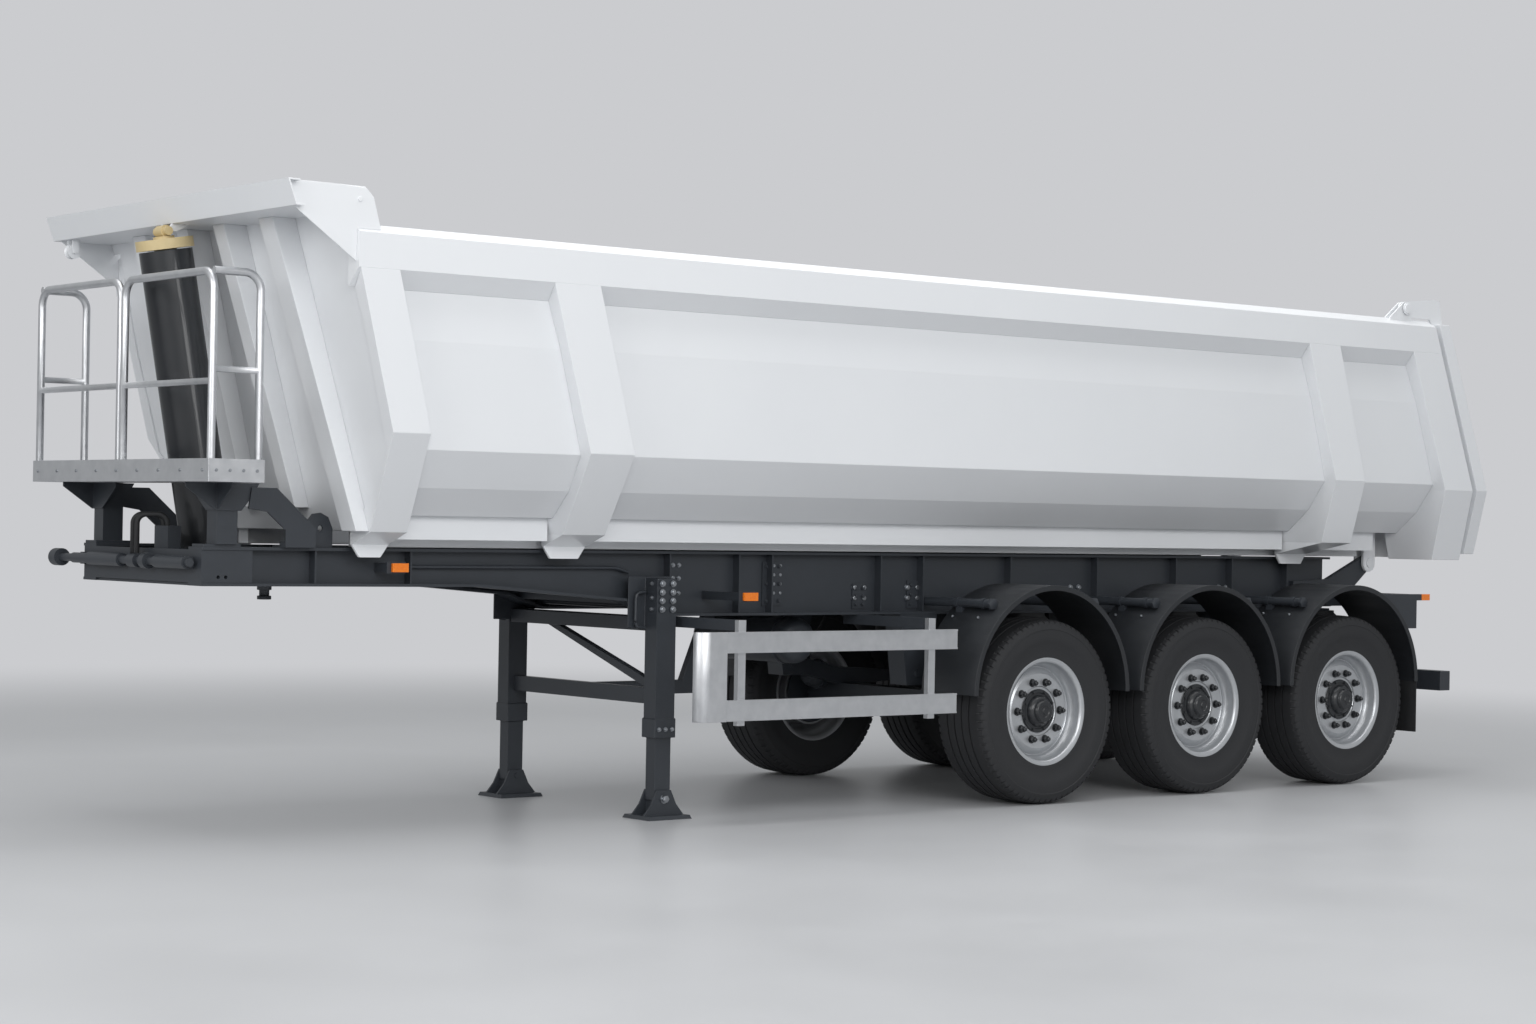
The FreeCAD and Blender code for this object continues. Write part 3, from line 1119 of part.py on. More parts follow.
HOSE_RADIUS = 13.0
for y in (40.0, 82.0):
    hose = bent_tube([
        vec(PIPE_X, y - 45, PIPE_Z + 34), vec(PIPE_X, y - 45, HOSE_CREST),
        vec(VALVE_X, y + 45, HOSE_CREST), vec(VALVE_X, y + 45, VALVE_TOP)],
        HOSE_RADIUS, 46.0)
    keep("coupling_hoses", hose)

# ---------------------------------------------------------------- write


def shifted_pieces():
    """Moves every solid so that the origin lies under the middle of the overall box."""
    whole = Part.makeCompound([s for solids in PIECES.values() for s in solids])
    size = whole.optimalBoundingBox(False)
    shift = vec(-(size.XMin + size.XMax) / 2, 0, 0)
    print("box", size, "shift", shift)
    for node, solids in PIECES.items():
        yield node, [s.translated(shift) for s in solids]


for node, solids in shifted_pieces():
    shape = solids[0] if len(solids) == 1 else Part.makeCompound(solids)
    if not shape.isValid() or any(s.Volume < 1000 for s in shape.Solids):
        print("CHECK", node, shape.isValid(), [round(s.Volume) for s in shape.Solids][:8])
    shape.exportStep("parts/%s.step" % node)
print(len(PIECES), "nodes")
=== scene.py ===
"""Looks of a tri-axle dump semi-trailer: enamelled tipping body, painted chassis, tyres and trim.

Lengths written in millimetres are set out from the front axle along X, from the middle plane
along Y and from the ground along Z; at() turns them into metres in the trailer's own frame.
"""
import json
import math

import bmesh
import bpy
from bpy.props import FloatProperty, FloatVectorProperty, IntProperty, PointerProperty, StringProperty
from mathutils import Matrix, Vector


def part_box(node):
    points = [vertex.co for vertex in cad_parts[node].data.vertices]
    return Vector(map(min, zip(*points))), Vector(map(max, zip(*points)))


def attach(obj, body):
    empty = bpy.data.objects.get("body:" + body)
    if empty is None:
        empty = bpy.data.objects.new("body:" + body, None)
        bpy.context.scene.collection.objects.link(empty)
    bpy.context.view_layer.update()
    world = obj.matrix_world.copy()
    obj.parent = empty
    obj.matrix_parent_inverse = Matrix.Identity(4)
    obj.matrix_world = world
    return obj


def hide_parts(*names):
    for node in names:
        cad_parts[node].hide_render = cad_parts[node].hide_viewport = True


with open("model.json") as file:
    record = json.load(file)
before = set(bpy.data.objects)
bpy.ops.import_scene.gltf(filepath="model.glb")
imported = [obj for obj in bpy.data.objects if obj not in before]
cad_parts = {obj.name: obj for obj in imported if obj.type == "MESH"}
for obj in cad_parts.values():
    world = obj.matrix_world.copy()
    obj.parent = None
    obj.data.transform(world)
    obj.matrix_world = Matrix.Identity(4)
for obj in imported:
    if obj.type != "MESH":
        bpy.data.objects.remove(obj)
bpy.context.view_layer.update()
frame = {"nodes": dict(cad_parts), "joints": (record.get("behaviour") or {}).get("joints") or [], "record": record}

bl_info = {
    "name": "Dump Trailer Looks",
    "version": (1, 0, 0),
    "blender": (4, 5, 0),
    "location": "View3D > Sidebar > Trailer",
    "description": "Builds the finishes, tread, fasteners and studio of a dump semi-trailer",
    "category": "Add Mesh",
}

MM = 0.001
PIVOTS = {joint["name"]: joint["pos_m"] for joint in frame["joints"] if "pos_m" in joint}
FRONT_AXLE = PIVOTS["wheel_left_1_spin"]
TRACK_HALF = FRONT_AXLE[1]
AXLES = [PIVOTS["wheel_left_%d_spin" % number][0] for number in (1, 2, 3)]
AXLE_PITCH = (AXLES[0] - AXLES[1]) / MM
SIDES = (1, -1)

WEB_FACE = 566.0            # outer face of the frame's web
PLATE_FACE = 574.0          # outer face of the plates on that web
WEB_PLATES = ((1440, 1580, 1110, 1350), (400, 520, 1090, 1250), (830, 930, 1090, 1230))
LEG_X = 2360.0              # centre of the landing legs
LEG_FRONT = 2422.5          # front face of the landing legs
COLLAR_Z = 470.0            # bolts of the collar at a leg's lower end
FOOT_BOLT_Z = 105.0
HANGER_X = 480.0            # middle of a suspension hanger, ahead of its axle
HINGE_EAR = 1215.0          # where the tailgate's pin caps stand
GUARD_BARS = ((542, 650), (892, 1000))
GUARD_LIP = 9               # width of a lip along a guard bar's edge
GUARD_LIP_END = 2345.0
ARCH_Z = 630.0              # centre of a mudguard's arch
STRAP_RADIUS = 613.0        # where the strap bolts stand, from that centre
STAY_X = 400.0              # a mudguard stay, ahead of its axle or behind it
STAY_Z = 1133.5


def at(x, y, z):
    return Vector((FRONT_AXLE[0] + x * MM, y * MM, z * MM))


# ------------------------------------------------------------------ settings
class TyreSettings(bpy.types.PropertyGroup):
    grooves: IntProperty(name="Grooves", description="Grooves running round the tread", default=4)
    groove_width: FloatProperty(name="Groove width", description="Width of a groove in mm", default=12.0)
    groove_depth: FloatProperty(name="Groove depth", description="Depth of a groove in mm", default=13.0)
    shoulder_notches: IntProperty(
        name="Shoulder notches", description="Notches round each shoulder of the tread", default=72)


class WheelSettings(bpy.types.PropertyGroup):
    nuts: IntProperty(name="Nuts", description="Wheel nuts on the hub", default=10)
    nut_circle: FloatProperty(
        name="Nut circle", description="Diameter of the nut circle in mm", default=335.0)
    nut_width: FloatProperty(name="Nut width", description="Width across the flats in mm", default=33.0)
    hub_radius: FloatProperty(name="Hub cap", description="Radius of the hub cap in mm", default=79.0)


class FastenerSettings(bpy.types.PropertyGroup):
    bolt_width: FloatProperty(name="Bolt width", description="Width of a frame bolt in mm", default=24.0)
    small_bolt: FloatProperty(
        name="Small bolt", description="Width of a bracket bolt in mm", default=17.0)
    rivet_radius: FloatProperty(name="Rivet", description="Radius of a rivet head in mm", default=5.5)


class FinishSettings(bpy.types.PropertyGroup):
    body: StringProperty(name="Body enamel", description="Colour of the tipping body", default="#E3E5E7")
    chassis: StringProperty(name="Chassis paint", description="Colour of the chassis", default="#33373D")
    rubber: StringProperty(name="Tyre rubber", description="Colour of the tyres", default="#26272A")
    wheel: StringProperty(name="Wheel paint", description="Colour of the wheels", default="#C6C8CB")
    cap: StringProperty(name="Hoist cap", description="Colour of the hoist's top cap", default="#CBB98F")


class StudioSettings(bpy.types.PropertyGroup):
    lens: FloatProperty(name="Lens", description="Focal length in mm", default=66.94)
    camera_place: FloatVectorProperty(
        name="Camera", description="Place of the camera", subtype="TRANSLATION", unit="LENGTH",
        default=(10.8227, 12.7509, 1.5598))
    heading: FloatProperty(
        name="Heading", description="Heading of the view", unit="ROTATION", default=-2.2503)
    tilt: FloatProperty(
        name="Tilt", description="Upward tilt of the view", unit="ROTATION", default=0.0041)
    roll: FloatProperty(name="Roll", description="Roll of the camera", unit="ROTATION", default=0.0172)
    floor_radius: FloatProperty(
        name="Floor", description="Radius of the floor", unit="LENGTH", default=90.0)


class TrailerSettings(bpy.types.PropertyGroup):
    tyre: PointerProperty(type=TyreSettings)
    wheel: PointerProperty(type=WheelSettings)
    fastener: PointerProperty(type=FastenerSettings)
    finish: PointerProperty(type=FinishSettings)
    studio: PointerProperty(type=StudioSettings)


def settings():
    return bpy.context.scene.dump_trailer


# ------------------------------------------------------------------ materials
def colour(hex_value):
    """sRGB hex to the linear colour that a shader takes."""
    channels = [int(hex_value[i:i + 2], 16) / 255 for i in (1, 3, 5)]
    linear = [c / 12.92 if c <= 0.04045 else ((c + 0.055) / 1.055) ** 2.4 for c in channels]
    return (*linear, 1.0)


def add_node(tree, kind, options=None, inputs=None):
    """Adds a node, sets its options, and sets or links its inputs."""
    node = tree.nodes.new(kind)
    for name, value in (options or {}).items():
        setattr(node, name, value)
    for name, value in (inputs or {}).items():
        if isinstance(value, bpy.types.NodeSocket):
            tree.links.new(value, node.inputs[name])
        else:
            node.inputs[name].default_value = value
    return node


def surface(name, **constants):
    """New material with one principled shader; constants are set on the shader's own sockets."""
    material = bpy.data.materials.new(name)
    material.use_nodes = True
    tree = material.node_tree
    tree.nodes.clear()
    shader = add_node(tree, "ShaderNodeBsdfPrincipled", inputs={
        key.replace("_", " "): value for key, value in constants.items()})
    add_node(tree, "ShaderNodeOutputMaterial", inputs={"Surface": shader.outputs["BSDF"]})
    place = add_node(tree, "ShaderNodeTexCoord").outputs["Object"]
    return material, tree, shader, place


def mottle(tree, shader, place, size_mm, dark, light, rough_low, rough_high):
    """Colour and roughness that drift a little over patches of size_mm."""
    patches = add_node(tree, "ShaderNodeTexNoise", inputs={
        "Vector": place, "Scale": 1000 / size_mm, "Detail": 4.0, "Roughness": 0.6})
    tint = add_node(tree, "ShaderNodeMix", {"data_type": "RGBA"}, {
        "Factor": patches.outputs["Fac"], 6: colour(dark), 7: colour(light)})
    rough = add_node(tree, "ShaderNodeMapRange", inputs={
        "Value": patches.outputs["Fac"], "To Min": rough_low, "To Max": rough_high})
    tree.links.new(tint.outputs[2], shader.inputs["Base Color"])
    tree.links.new(rough.outputs["Result"], shader.inputs["Roughness"])
    return patches


def grain(tree, shader, place, size_mm, depth_mm, strength=0.5):
    """Fine bump whose grains are size_mm wide, drawn coarser than real ones so that they show."""
    fine = add_node(tree, "ShaderNodeTexNoise", inputs={
        "Vector": place, "Scale": 1000 / size_mm, "Detail": 2.0})
    bump = add_node(tree, "ShaderNodeBump", inputs={
        "Height": fine.outputs["Fac"], "Distance": depth_mm * MM, "Strength": strength})
    tree.links.new(bump.outputs["Normal"], shader.inputs["Normal"])
    return bump


def body_enamel():
    # Sprayed two-pack enamel on steel sheet: white, glossy, with faint orange peel.
    # The peel is about 3 mm on the real sheet and drawn at 14 mm so that it shows.
    finish = settings().finish
    material, tree, shader, place = surface(
        "sprayed_white_enamel", Coat_Weight=0.35, Coat_Roughness=0.12, IOR=1.5)
    mottle(tree, shader, place, 900, "#DDDFE2", finish.body, 0.30, 0.42)
    grain(tree, shader, place, 14, 0.25, 0.12)
    return material


def chassis_paint():
    # Two-pack chassis paint over primer: satin dark grey, slightly patchy where it was sprayed.
    finish = settings().finish
    material, tree, shader, place = surface("satin_chassis_paint", IOR=1.5)
    mottle(tree, shader, place, 160, "#2B2F34", finish.chassis, 0.38, 0.52)
    grain(tree, shader, place, 9, 0.3, 0.15)
    return material


def mill_aluminium():
    # Extruded and welded aluminium left bare: drawn along its length, a little dull.
    material, tree, shader, place = surface("mill_aluminium", Metallic=1.0)
    mottle(tree, shader, place, 60, "#BFC1C4", "#D9DADC", 0.34, 0.5)
    stretched = add_node(tree, "ShaderNodeMapping", inputs={"Vector": place, "Scale": (1.0, 12.0, 12.0)})
    grain(tree, shader, stretched.outputs["Vector"], 30, 0.15, 0.2)
    return material


def tyre_rubber():
    # Carbon-black tyre rubber, moulded: matt and faintly dusty, finely pitted.
    finish = settings().finish
    material, tree, shader, place = surface("moulded_tyre_rubber", IOR=1.5)
    mottle(tree, shader, place, 120, "#1E1F21", finish.rubber, 0.62, 0.8)
    grain(tree, shader, place, 6, 0.4, 0.35)
    return material


def wheel_paint():
    # Steel disc wheel sprayed in silver lacquer: a fine metallic sparkle under a thin clear coat.
    finish = settings().finish
    material, tree, shader, place = surface("silver_wheel_lacquer", Metallic=0.75, Coat_Weight=0.2)
    mottle(tree, shader, place, 40, "#B4B7BA", finish.wheel, 0.3, 0.42)
    grain(tree, shader, place, 5, 0.15, 0.15)
    return material


def moulded_plastic():
    # Injection-moulded polypropylene: black, leathery grain, low gloss.
    material, tree, shader, place = surface("moulded_black_polypropylene", IOR=1.49)
    mottle(tree, shader, place, 200, "#1B1D20", "#25282C", 0.42, 0.55)
    grain(tree, shader, place, 7, 0.5, 0.3)
    return material


def soft_rubber():
    # Moulded natural rubber of bellows and flaps: almost black, matt.
    material, tree, shader, place = surface("moulded_black_rubber", IOR=1.5)
    mottle(tree, shader, place, 90, "#151617", "#1F2022", 0.6, 0.78)
    grain(tree, shader, place, 8, 0.4, 0.25)
    return material


def hoist_paint():
    # Hoist outer tube in black stoving enamel: smooth with a soft shine.
    material, tree, shader, place = surface("black_stoving_enamel", Coat_Weight=0.3, IOR=1.5)
    mottle(tree, shader, place, 140, "#16181B", "#202327", 0.34, 0.46)
    grain(tree, shader, place, 10, 0.2, 0.1)
    return material


def hard_chrome():
    # Hard chrome plate ground round the tube: bright, with fine rings.
    material, tree, shader, place = surface("hard_chrome_plate", Metallic=1.0)
    mottle(tree, shader, place, 90, "#C4C7CB", "#DDE0E3", 0.12, 0.2)
    rings = add_node(tree, "ShaderNodeMapping", inputs={"Vector": place, "Scale": (1.0, 1.0, 40.0)})
    grain(tree, shader, rings.outputs["Vector"], 60, 0.05, 0.1)
    return material


def cap_enamel():
    # Hoist head in beige enamel, brushed on over a casting.
    finish = settings().finish
    material, tree, shader, place = surface("beige_enamel", IOR=1.5)
    mottle(tree, shader, place, 60, "#BCA97D", finish.cap, 0.38, 0.52)
    grain(tree, shader, place, 8, 0.4, 0.3)
    return material


def lens(name, dark, light):
    # Moulded acrylic lamp lens: clear coloured gloss over prisms about 12 mm apart.
    material, tree, shader, place = surface(name, Coat_Weight=0.6, Coat_Roughness=0.05, IOR=1.49)
    mottle(tree, shader, place, 12, dark, light, 0.15, 0.25)
    prisms = add_node(tree, "ShaderNodeTexWave", inputs={"Vector": place, "Scale": 26.5393})
    bump = add_node(tree, "ShaderNodeBump", inputs={
        "Height": prisms.outputs["Fac"], "Distance": 0.8 * MM, "Strength": 0.6})
    tree.links.new(bump.outputs["Normal"], shader.inputs["Normal"])
    return material


def amber_lens():
    return lens("amber_acrylic_lens", "#E06A10", "#F58A1E")


def red_lens():
    return lens("red_acrylic_lens", "#8E1414", "#B81E1E")


def zinc_plate():
    # Zinc-plated steel fasteners: pale grey metal, dulled by passivation.
    material, tree, shader, place = surface("zinc_plated_steel", Metallic=1.0)
    mottle(tree, shader, place, 18, "#8C9095", "#B1B4B8", 0.32, 0.5)
    grain(tree, shader, place, 4, 0.1, 0.15)
    return material


FINISHES = {
    "body_white": body_enamel, "chassis_grey": chassis_paint, "aluminium": mill_aluminium,
    "tyre": tyre_rubber, "wheel_steel": wheel_paint, "black_plastic": moulded_plastic,
    "rubber": soft_rubber, "hoist_black": hoist_paint, "chrome": hard_chrome,
    "cap_beige": cap_enamel, "amber_lens": amber_lens, "red_lens": red_lens, "zinc": zinc_plate,
}
MADE = {}


def finish_for(slot):
    if slot not in MADE:
        MADE[slot] = FINISHES[slot]()
    return MADE[slot]


# ------------------------------------------------------------------ shaping
def piece(name, mesh, body, slot, material=None, smooth=True):
    """Turns a bmesh into a finished piece that rides on a body."""
    data = bpy.data.meshes.new(name)
    bmesh.ops.recalc_face_normals(mesh, faces=mesh.faces)
    mesh.to_mesh(data)
    mesh.free()
    thing = bpy.data.objects.new(name, data)
    bpy.context.collection.objects.link(thing)
    data.materials.append(finish_for(material or slot))
    if smooth:
        data.shade_smooth()
        data.set_sharp_from_angle(angle=math.radians(35))
    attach(thing, body)
    return thing


def lathe(mesh, profile, centre, axis, segments=48):
    """Turns (offset along the axis, radius) points about an axis through centre."""
    axis = Vector(axis).normalized()
    turn = axis.to_track_quat("Z", "Y").to_matrix()
    rings = []
    for step in range(segments):
        angle = 2 * math.pi * step / segments
        out = turn @ Vector((math.cos(angle), math.sin(angle), 0))
        rings.append([mesh.verts.new(Vector(centre) + axis * along * MM + out * radius * MM)
                      for along, radius in profile])
    for step in range(segments):
        near, far = rings[step], rings[(step + 1) % segments]
        for point in range(len(profile) - 1):
            mesh.faces.new((near[point], near[point + 1], far[point + 1], far[point]))


def bolt(mesh, place, normal, width, height=None):
    """Washer and hexagon head on a face; place is on the face."""
    normal = Vector(normal).normalized()
    height = height or 0.62 * width
    washer = [(-0.5, 0.001), (-0.5, width * 0.72), (3, width * 0.72), (3, 0.001)]
    top = height + 1.5
    head = [(3, width * 0.5), (height, width * 0.577), (top, width * 0.48), (top, 0.001)]
    lathe(mesh, washer, place, normal, 14)
    lathe(mesh, head, place, normal, 6)


def tube(mesh, points, radius, segments=12):
    """Round bar or pipe through points, with its ends closed."""
    points = [Vector(point) for point in points]
    rings = []
    for i, point in enumerate(points):
        run = points[min(i + 1, len(points) - 1)] - points[max(i - 1, 0)]
        turn = run.normalized().to_track_quat("Z", "Y").to_matrix()
        rings.append([mesh.verts.new(point + turn @ Vector((
            math.cos(2 * math.pi * s / segments), math.sin(2 * math.pi * s / segments), 0)) * radius * MM)
            for s in range(segments)])
    for near, far in zip(rings, rings[1:]):
        for s in range(segments):
            mesh.faces.new((near[s], near[(s + 1) % segments], far[(s + 1) % segments], far[s]))
    mesh.faces.new(rings[0])
    mesh.faces.new(rings[-1])


def bent(points, bend=40.0, steps=5):
    """Rounds the corners of a route with short arcs; lengths in metres, bend in mm."""
    points = [Vector(point) for point in points]
    route = [points[0]]
    for before, corner, after in zip(points, points[1:], points[2:]):
        reach = min(bend * MM, (before - corner).length / 2, (after - corner).length / 2)
        start = corner + (before - corner).normalized() * reach
        end = corner + (after - corner).normalized() * reach
        for step in range(steps + 1):
            t = step / steps
            route.append(start * (1 - t) ** 2 + corner * 2 * t * (1 - t) + end * t ** 2)
    return route + [points[-1]]


def block(mesh, low, high, soft=3.0):
    """Box between two corners with softened edges."""
    made = bmesh.ops.create_cube(mesh, size=1.0)
    low, high = Vector(low), Vector(high)
    for vert in made["verts"]:
        vert.co = Vector([(low[i] + high[i]) / 2 + vert.co[i] * abs(high[i] - low[i])
                          for i in range(3)])
    edges = {edge for vert in made["verts"] for edge in vert.link_edges}
    bmesh.ops.bevel(mesh, geom=list(edges), offset=soft * MM, segments=2, affect="EDGES")


# ------------------------------------------------------------------ carried-over pieces
ROUNDED = {
    "floor": 3, "side_wall_left": 3, "side_wall_right": 3, "front_wall": 3,
    "front_stiffeners": 5, "canopy": 4, "top_rails": 6, "ribs": 6, "bed_bearers": 3,
    "bed_runners": 3, "tailgate_frame": 5, "tailgate_panel": 3,
    "frame_rails": 3, "landing_legs": 4, "landing_feet": 3, "landing_brace": 3, "coupling_plate": 2,
    "walkway_deck": 1.5, "side_guards": 4, "mudguards": 2, "rear_underrun": 5, "lamp_boards": 2,
    "walkway_supports": 2, "amber_lamps": 3, "tail_lamps": 4, "pivot_arms": 3, "suspension_hangers": 3,
    "suspension_arms": 4, "axles": 6, "hoist_cradle": 2,
}


def finish_cad_nodes():
    slots = {part["node"]: part["material_slot"] for part in frame["record"]["subparts"]}
    for name, thing in frame["nodes"].items():
        thing.data.materials.clear()
        thing.data.materials.append(finish_for(slots[name]))
        join = thing.modifiers.new("join", "WELD")
        join.merge_threshold = 0.05 * MM
        if name in ROUNDED:
            soften = thing.modifiers.new("soften", "BEVEL")
            soften.width = ROUNDED[name] * MM
            soften.segments = 2
            soften.limit_method = "ANGLE"
            soften.angle_limit = math.radians(28)
            soften.harden_normals = True


# ------------------------------------------------------------------ wheels and tyres
def tread_profile(tyre, notched):
    """(offset, radius) of the outer skin from one bead to the other."""
    crown, edge, shoulder = 525.0, 158.0, 176.0
    side = [(150, 285), (162, 292), (171, 312), (170, 318), (177, 352), (185, 392), (187, 396),
            (190, 430), (189, 462), (192, 466), (191, 474), (185, 488)]
    drop = 9.0 if notched else 0.0
    side += [(shoulder + 6, 498 - drop / 2), (shoulder, 510 - drop), (edge, 518.5 - drop)]
    flat = [(edge - 8, 519.5)]
    for number in range(tyre.grooves):
        middle = (edge - 12) * (1 - 2 * (number + 1) / (tyre.grooves + 1))
        half, deep = tyre.groove_width / 2, tyre.groove_depth
        for offset, depth in ((half, 0), (half - 2, deep), (2 - half, deep), (-half, 0)):
            y = middle + offset
            flat.append((y, crown - 6 * (y / edge) ** 2 - depth))
    flat.append((8 - edge, 519.5))
    return side + flat + [(-offset, radius) for offset, radius in reversed(side)]


def make_tyre(number, side):
    tyre = settings().tyre
    name = "left" if side > 0 else "right"
    centre = Vector((AXLES[number - 1], side * TRACK_HALF, FRONT_AXLE[2]))
    plain, notched = tread_profile(tyre, False), tread_profile(tyre, True)
    mesh = bmesh.new()
    count = tyre.shoulder_notches * 4
    rings = []
    for step in range(count):
        # the first two steps of every four are down in the notch, the other two stand between notches
        fraction = (step // 4 + (0.0, 0.2, 0.26, 0.94)[step % 4]) / tyre.shoulder_notches
        angle = 2 * math.pi * fraction
        out = Vector((math.cos(angle), 0, math.sin(angle)))
        profile = notched if step % 4 < 2 else plain
        rings.append([mesh.verts.new(centre + out * radius * MM + Vector((0, offset * MM, 0)))
                      for offset, radius in profile])
    for step in range(count):
        near, far = rings[step], rings[(step + 1) % count]
        for point in range(len(plain) - 1):
            mesh.faces.new((near[point], near[point + 1], far[point + 1], far[point]))
    made = piece("tyre_skin_%s_%d" % (name, number), mesh, "wheel_%s_%d" % (name, number), "tyre")
    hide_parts("tyre_%s_%d" % (name, number))


def make_hub(number, side):
    wheel = settings().wheel
    name = "left" if side > 0 else "right"
    body = "wheel_%s_%d" % (name, number)
    centre = Vector((AXLES[number - 1], side * TRACK_HALF, FRONT_AXLE[2]))
    out = Vector((0, side, 0))
    hub, cap = bmesh.new(), wheel.hub_radius
    lathe(hub, [(104, 124), (110, 120), (110, 104), (106, 100), (108, 92), (128, cap + 6), (140, cap - 6),
                (142, cap - 12), (158, cap - 17), (163, cap - 23), (163, 34), (159, 30), (159, 18),
                (164, 14), (164, 0.01)], centre, out, 64)
    for step in range(8):
        angle = 2 * math.pi * (step + 0.5) / 8
        spot = centre + out * 108 * MM + Vector((math.cos(angle), 0, math.sin(angle))) * (cap + 32) * MM
        bolt(hub, spot, out, 14, 9)
    piece("hub_%s_%d" % (name, number), hub, body, "hoist_black")
    nuts = bmesh.new()
    for step in range(wheel.nuts):
        angle = 2 * math.pi * step / wheel.nuts
        spoke = Vector((math.cos(angle), 0, math.sin(angle)))
        spot = centre + out * 106 * MM + spoke * wheel.nut_circle / 2 * MM
        bolt(nuts, spot, out, wheel.nut_width, 26)
        lathe(nuts, [(20, 11), (40, 11), (43, 8), (43, 0.01)], spot, out, 12)
    piece("wheel_nuts_%s_%d" % (name, number), nuts, body, "hoist_black")


class TRAILER_OT_wheels(bpy.types.Operator):
    """Makes the treaded tyres, hubs and wheel nuts"""
    bl_idname = "trailer.wheels"
    bl_label = "Wheels and Tyres"

    def execute(self, context):
        for number in (1, 2, 3):
            for side in SIDES:
                make_tyre(number, side)
                make_hub(number, side)
        return {"FINISHED"}


class TRAILER_OT_paint(bpy.types.Operator):
    """Gives every carried-over piece its finish, and softens the edges of those listed in ROUNDED"""
    bl_idname = "trailer.paint"
    bl_label = "Paint and Edges"

    def execute(self, context):
        finish_cad_nodes()
        return {"FINISHED"}


# ------------------------------------------------------------------ fasteners
def bolt_rows(mesh, xs, y, zs, width):
    for side in SIDES:
        for x in xs:
            for z in zs:
                bolt(mesh, at(x, side * y, z), (0, side, 0), width)


def make_frame_bolts(sizes):
    """Bolts along the frame's web and on the landing legs, their collars and feet."""
    bolts = bmesh.new()
    leg_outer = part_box("landing_legs")[1].y / MM
    leg_zs = (1235, 1190, 1145, 1100)
    bolt_rows(bolts, (LEG_X - 35, LEG_X + 35), leg_outer, leg_zs, sizes.bolt_width)
    bolt_rows(bolts, (1455, 1500), WEB_FACE, (1330, 1280, 1230, 1180), sizes.small_bolt)
    bolt_rows(bolts, (2150, 2190), WEB_FACE, (1330, 1260, 1180), sizes.small_bolt)
    for x in (880, *(HANGER_X - AXLE_PITCH * number for number in range(3))):
        bolt_rows(bolts, (x - 35, x + 35), WEB_FACE, (1210, 1150), sizes.bolt_width)
    foot_low, foot_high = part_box("landing_feet")
    foot_x = (foot_low.x + foot_high.x) / 2
    for side in SIDES:
        for z in (1235, 1160, 1100):
            bolt(bolts, at(LEG_FRONT, side * 700, z), (1, 0, 0), sizes.small_bolt)
        for x in (LEG_X - 42, LEG_X, LEG_X + 42):
            bolt(bolts, at(x, side * leg_outer, COLLAR_Z), (0, side, 0), sizes.small_bolt)
        foot = Vector((foot_x, side * leg_outer * MM, FOOT_BOLT_Z * MM))
        bolt(bolts, foot, (0, side, 0), 34)
    piece("frame_bolts", bolts, "chassis", "chassis_grey", "zinc")


def make_web_plates(sizes):
    """Plates on the frame's web, with a row of bolts at each end."""
    plates = bmesh.new()
    for side in SIDES:
        for x0, x1, z0, z1 in WEB_PLATES:
            block(plates, at(x0, side * WEB_FACE, z0), at(x1, side * PLATE_FACE, z1), 2)
            for x in (x0 + 25, x1 - 25):
                for z in (z0 + 25, (z0 + z1) / 2, z1 - 25):
                    bolt(plates, at(x, side * PLATE_FACE, z), (0, side, 0), sizes.small_bolt)
    piece("web_plates", plates, "chassis", "chassis_grey")


def make_body_pins():
    """Caps of the tailgate's hinge pins, and a bolt high at each front corner of the body."""
    pins = bmesh.new()
    for side in SIDES:
        hinge = Vector(PIVOTS["tailgate_swing"]) + Vector((0, side * HINGE_EAR * MM, 0))
        lathe(pins, [(-1, 40), (5, 40), (6, 30), (12, 30), (13, 0.01)], hinge, (0, side, 0), 32)
        bolt(pins, at(4545, side * 1220, 3035), (0, side, 0), 22)
    piece("body_pins", pins, "dump_body", "body_white")


def make_walkway_rivets(sizes):
    """Rivets along the two ends and the front edge of the walkway's deck."""
    rivets = bmesh.new()
    width, height = sizes.rivet_radius * 2, 4
    low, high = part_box("walkway_deck")
    middle = (low.z + high.z) / 2
    for side in SIDES:
        for step in range(4):
            x = low.x + 0.04 + (high.x - low.x - 0.08) * step / 3
            bolt(rivets, Vector((x, side * high.y, middle)), (0, side, 0), width, height)
    for step in range(9):
        y = low.y + 0.06 + (high.y - low.y - 0.12) * step / 8
        bolt(rivets, Vector((high.x, y, middle)), (1, 0, 0), width, height)
    piece("walkway_rivets", rivets, "chassis", "aluminium", "zinc")


class TRAILER_OT_fasteners(bpy.types.Operator):
    """Makes the frame bolts, web plates, pin caps and walkway rivets"""
    bl_idname = "trailer.fasteners"
    bl_label = "Fasteners"

    def execute(self, context):
        sizes = settings().fastener
        make_frame_bolts(sizes)
        make_web_plates(sizes)
        make_body_pins()
        make_walkway_rivets(sizes)
        return {"FINISHED"}


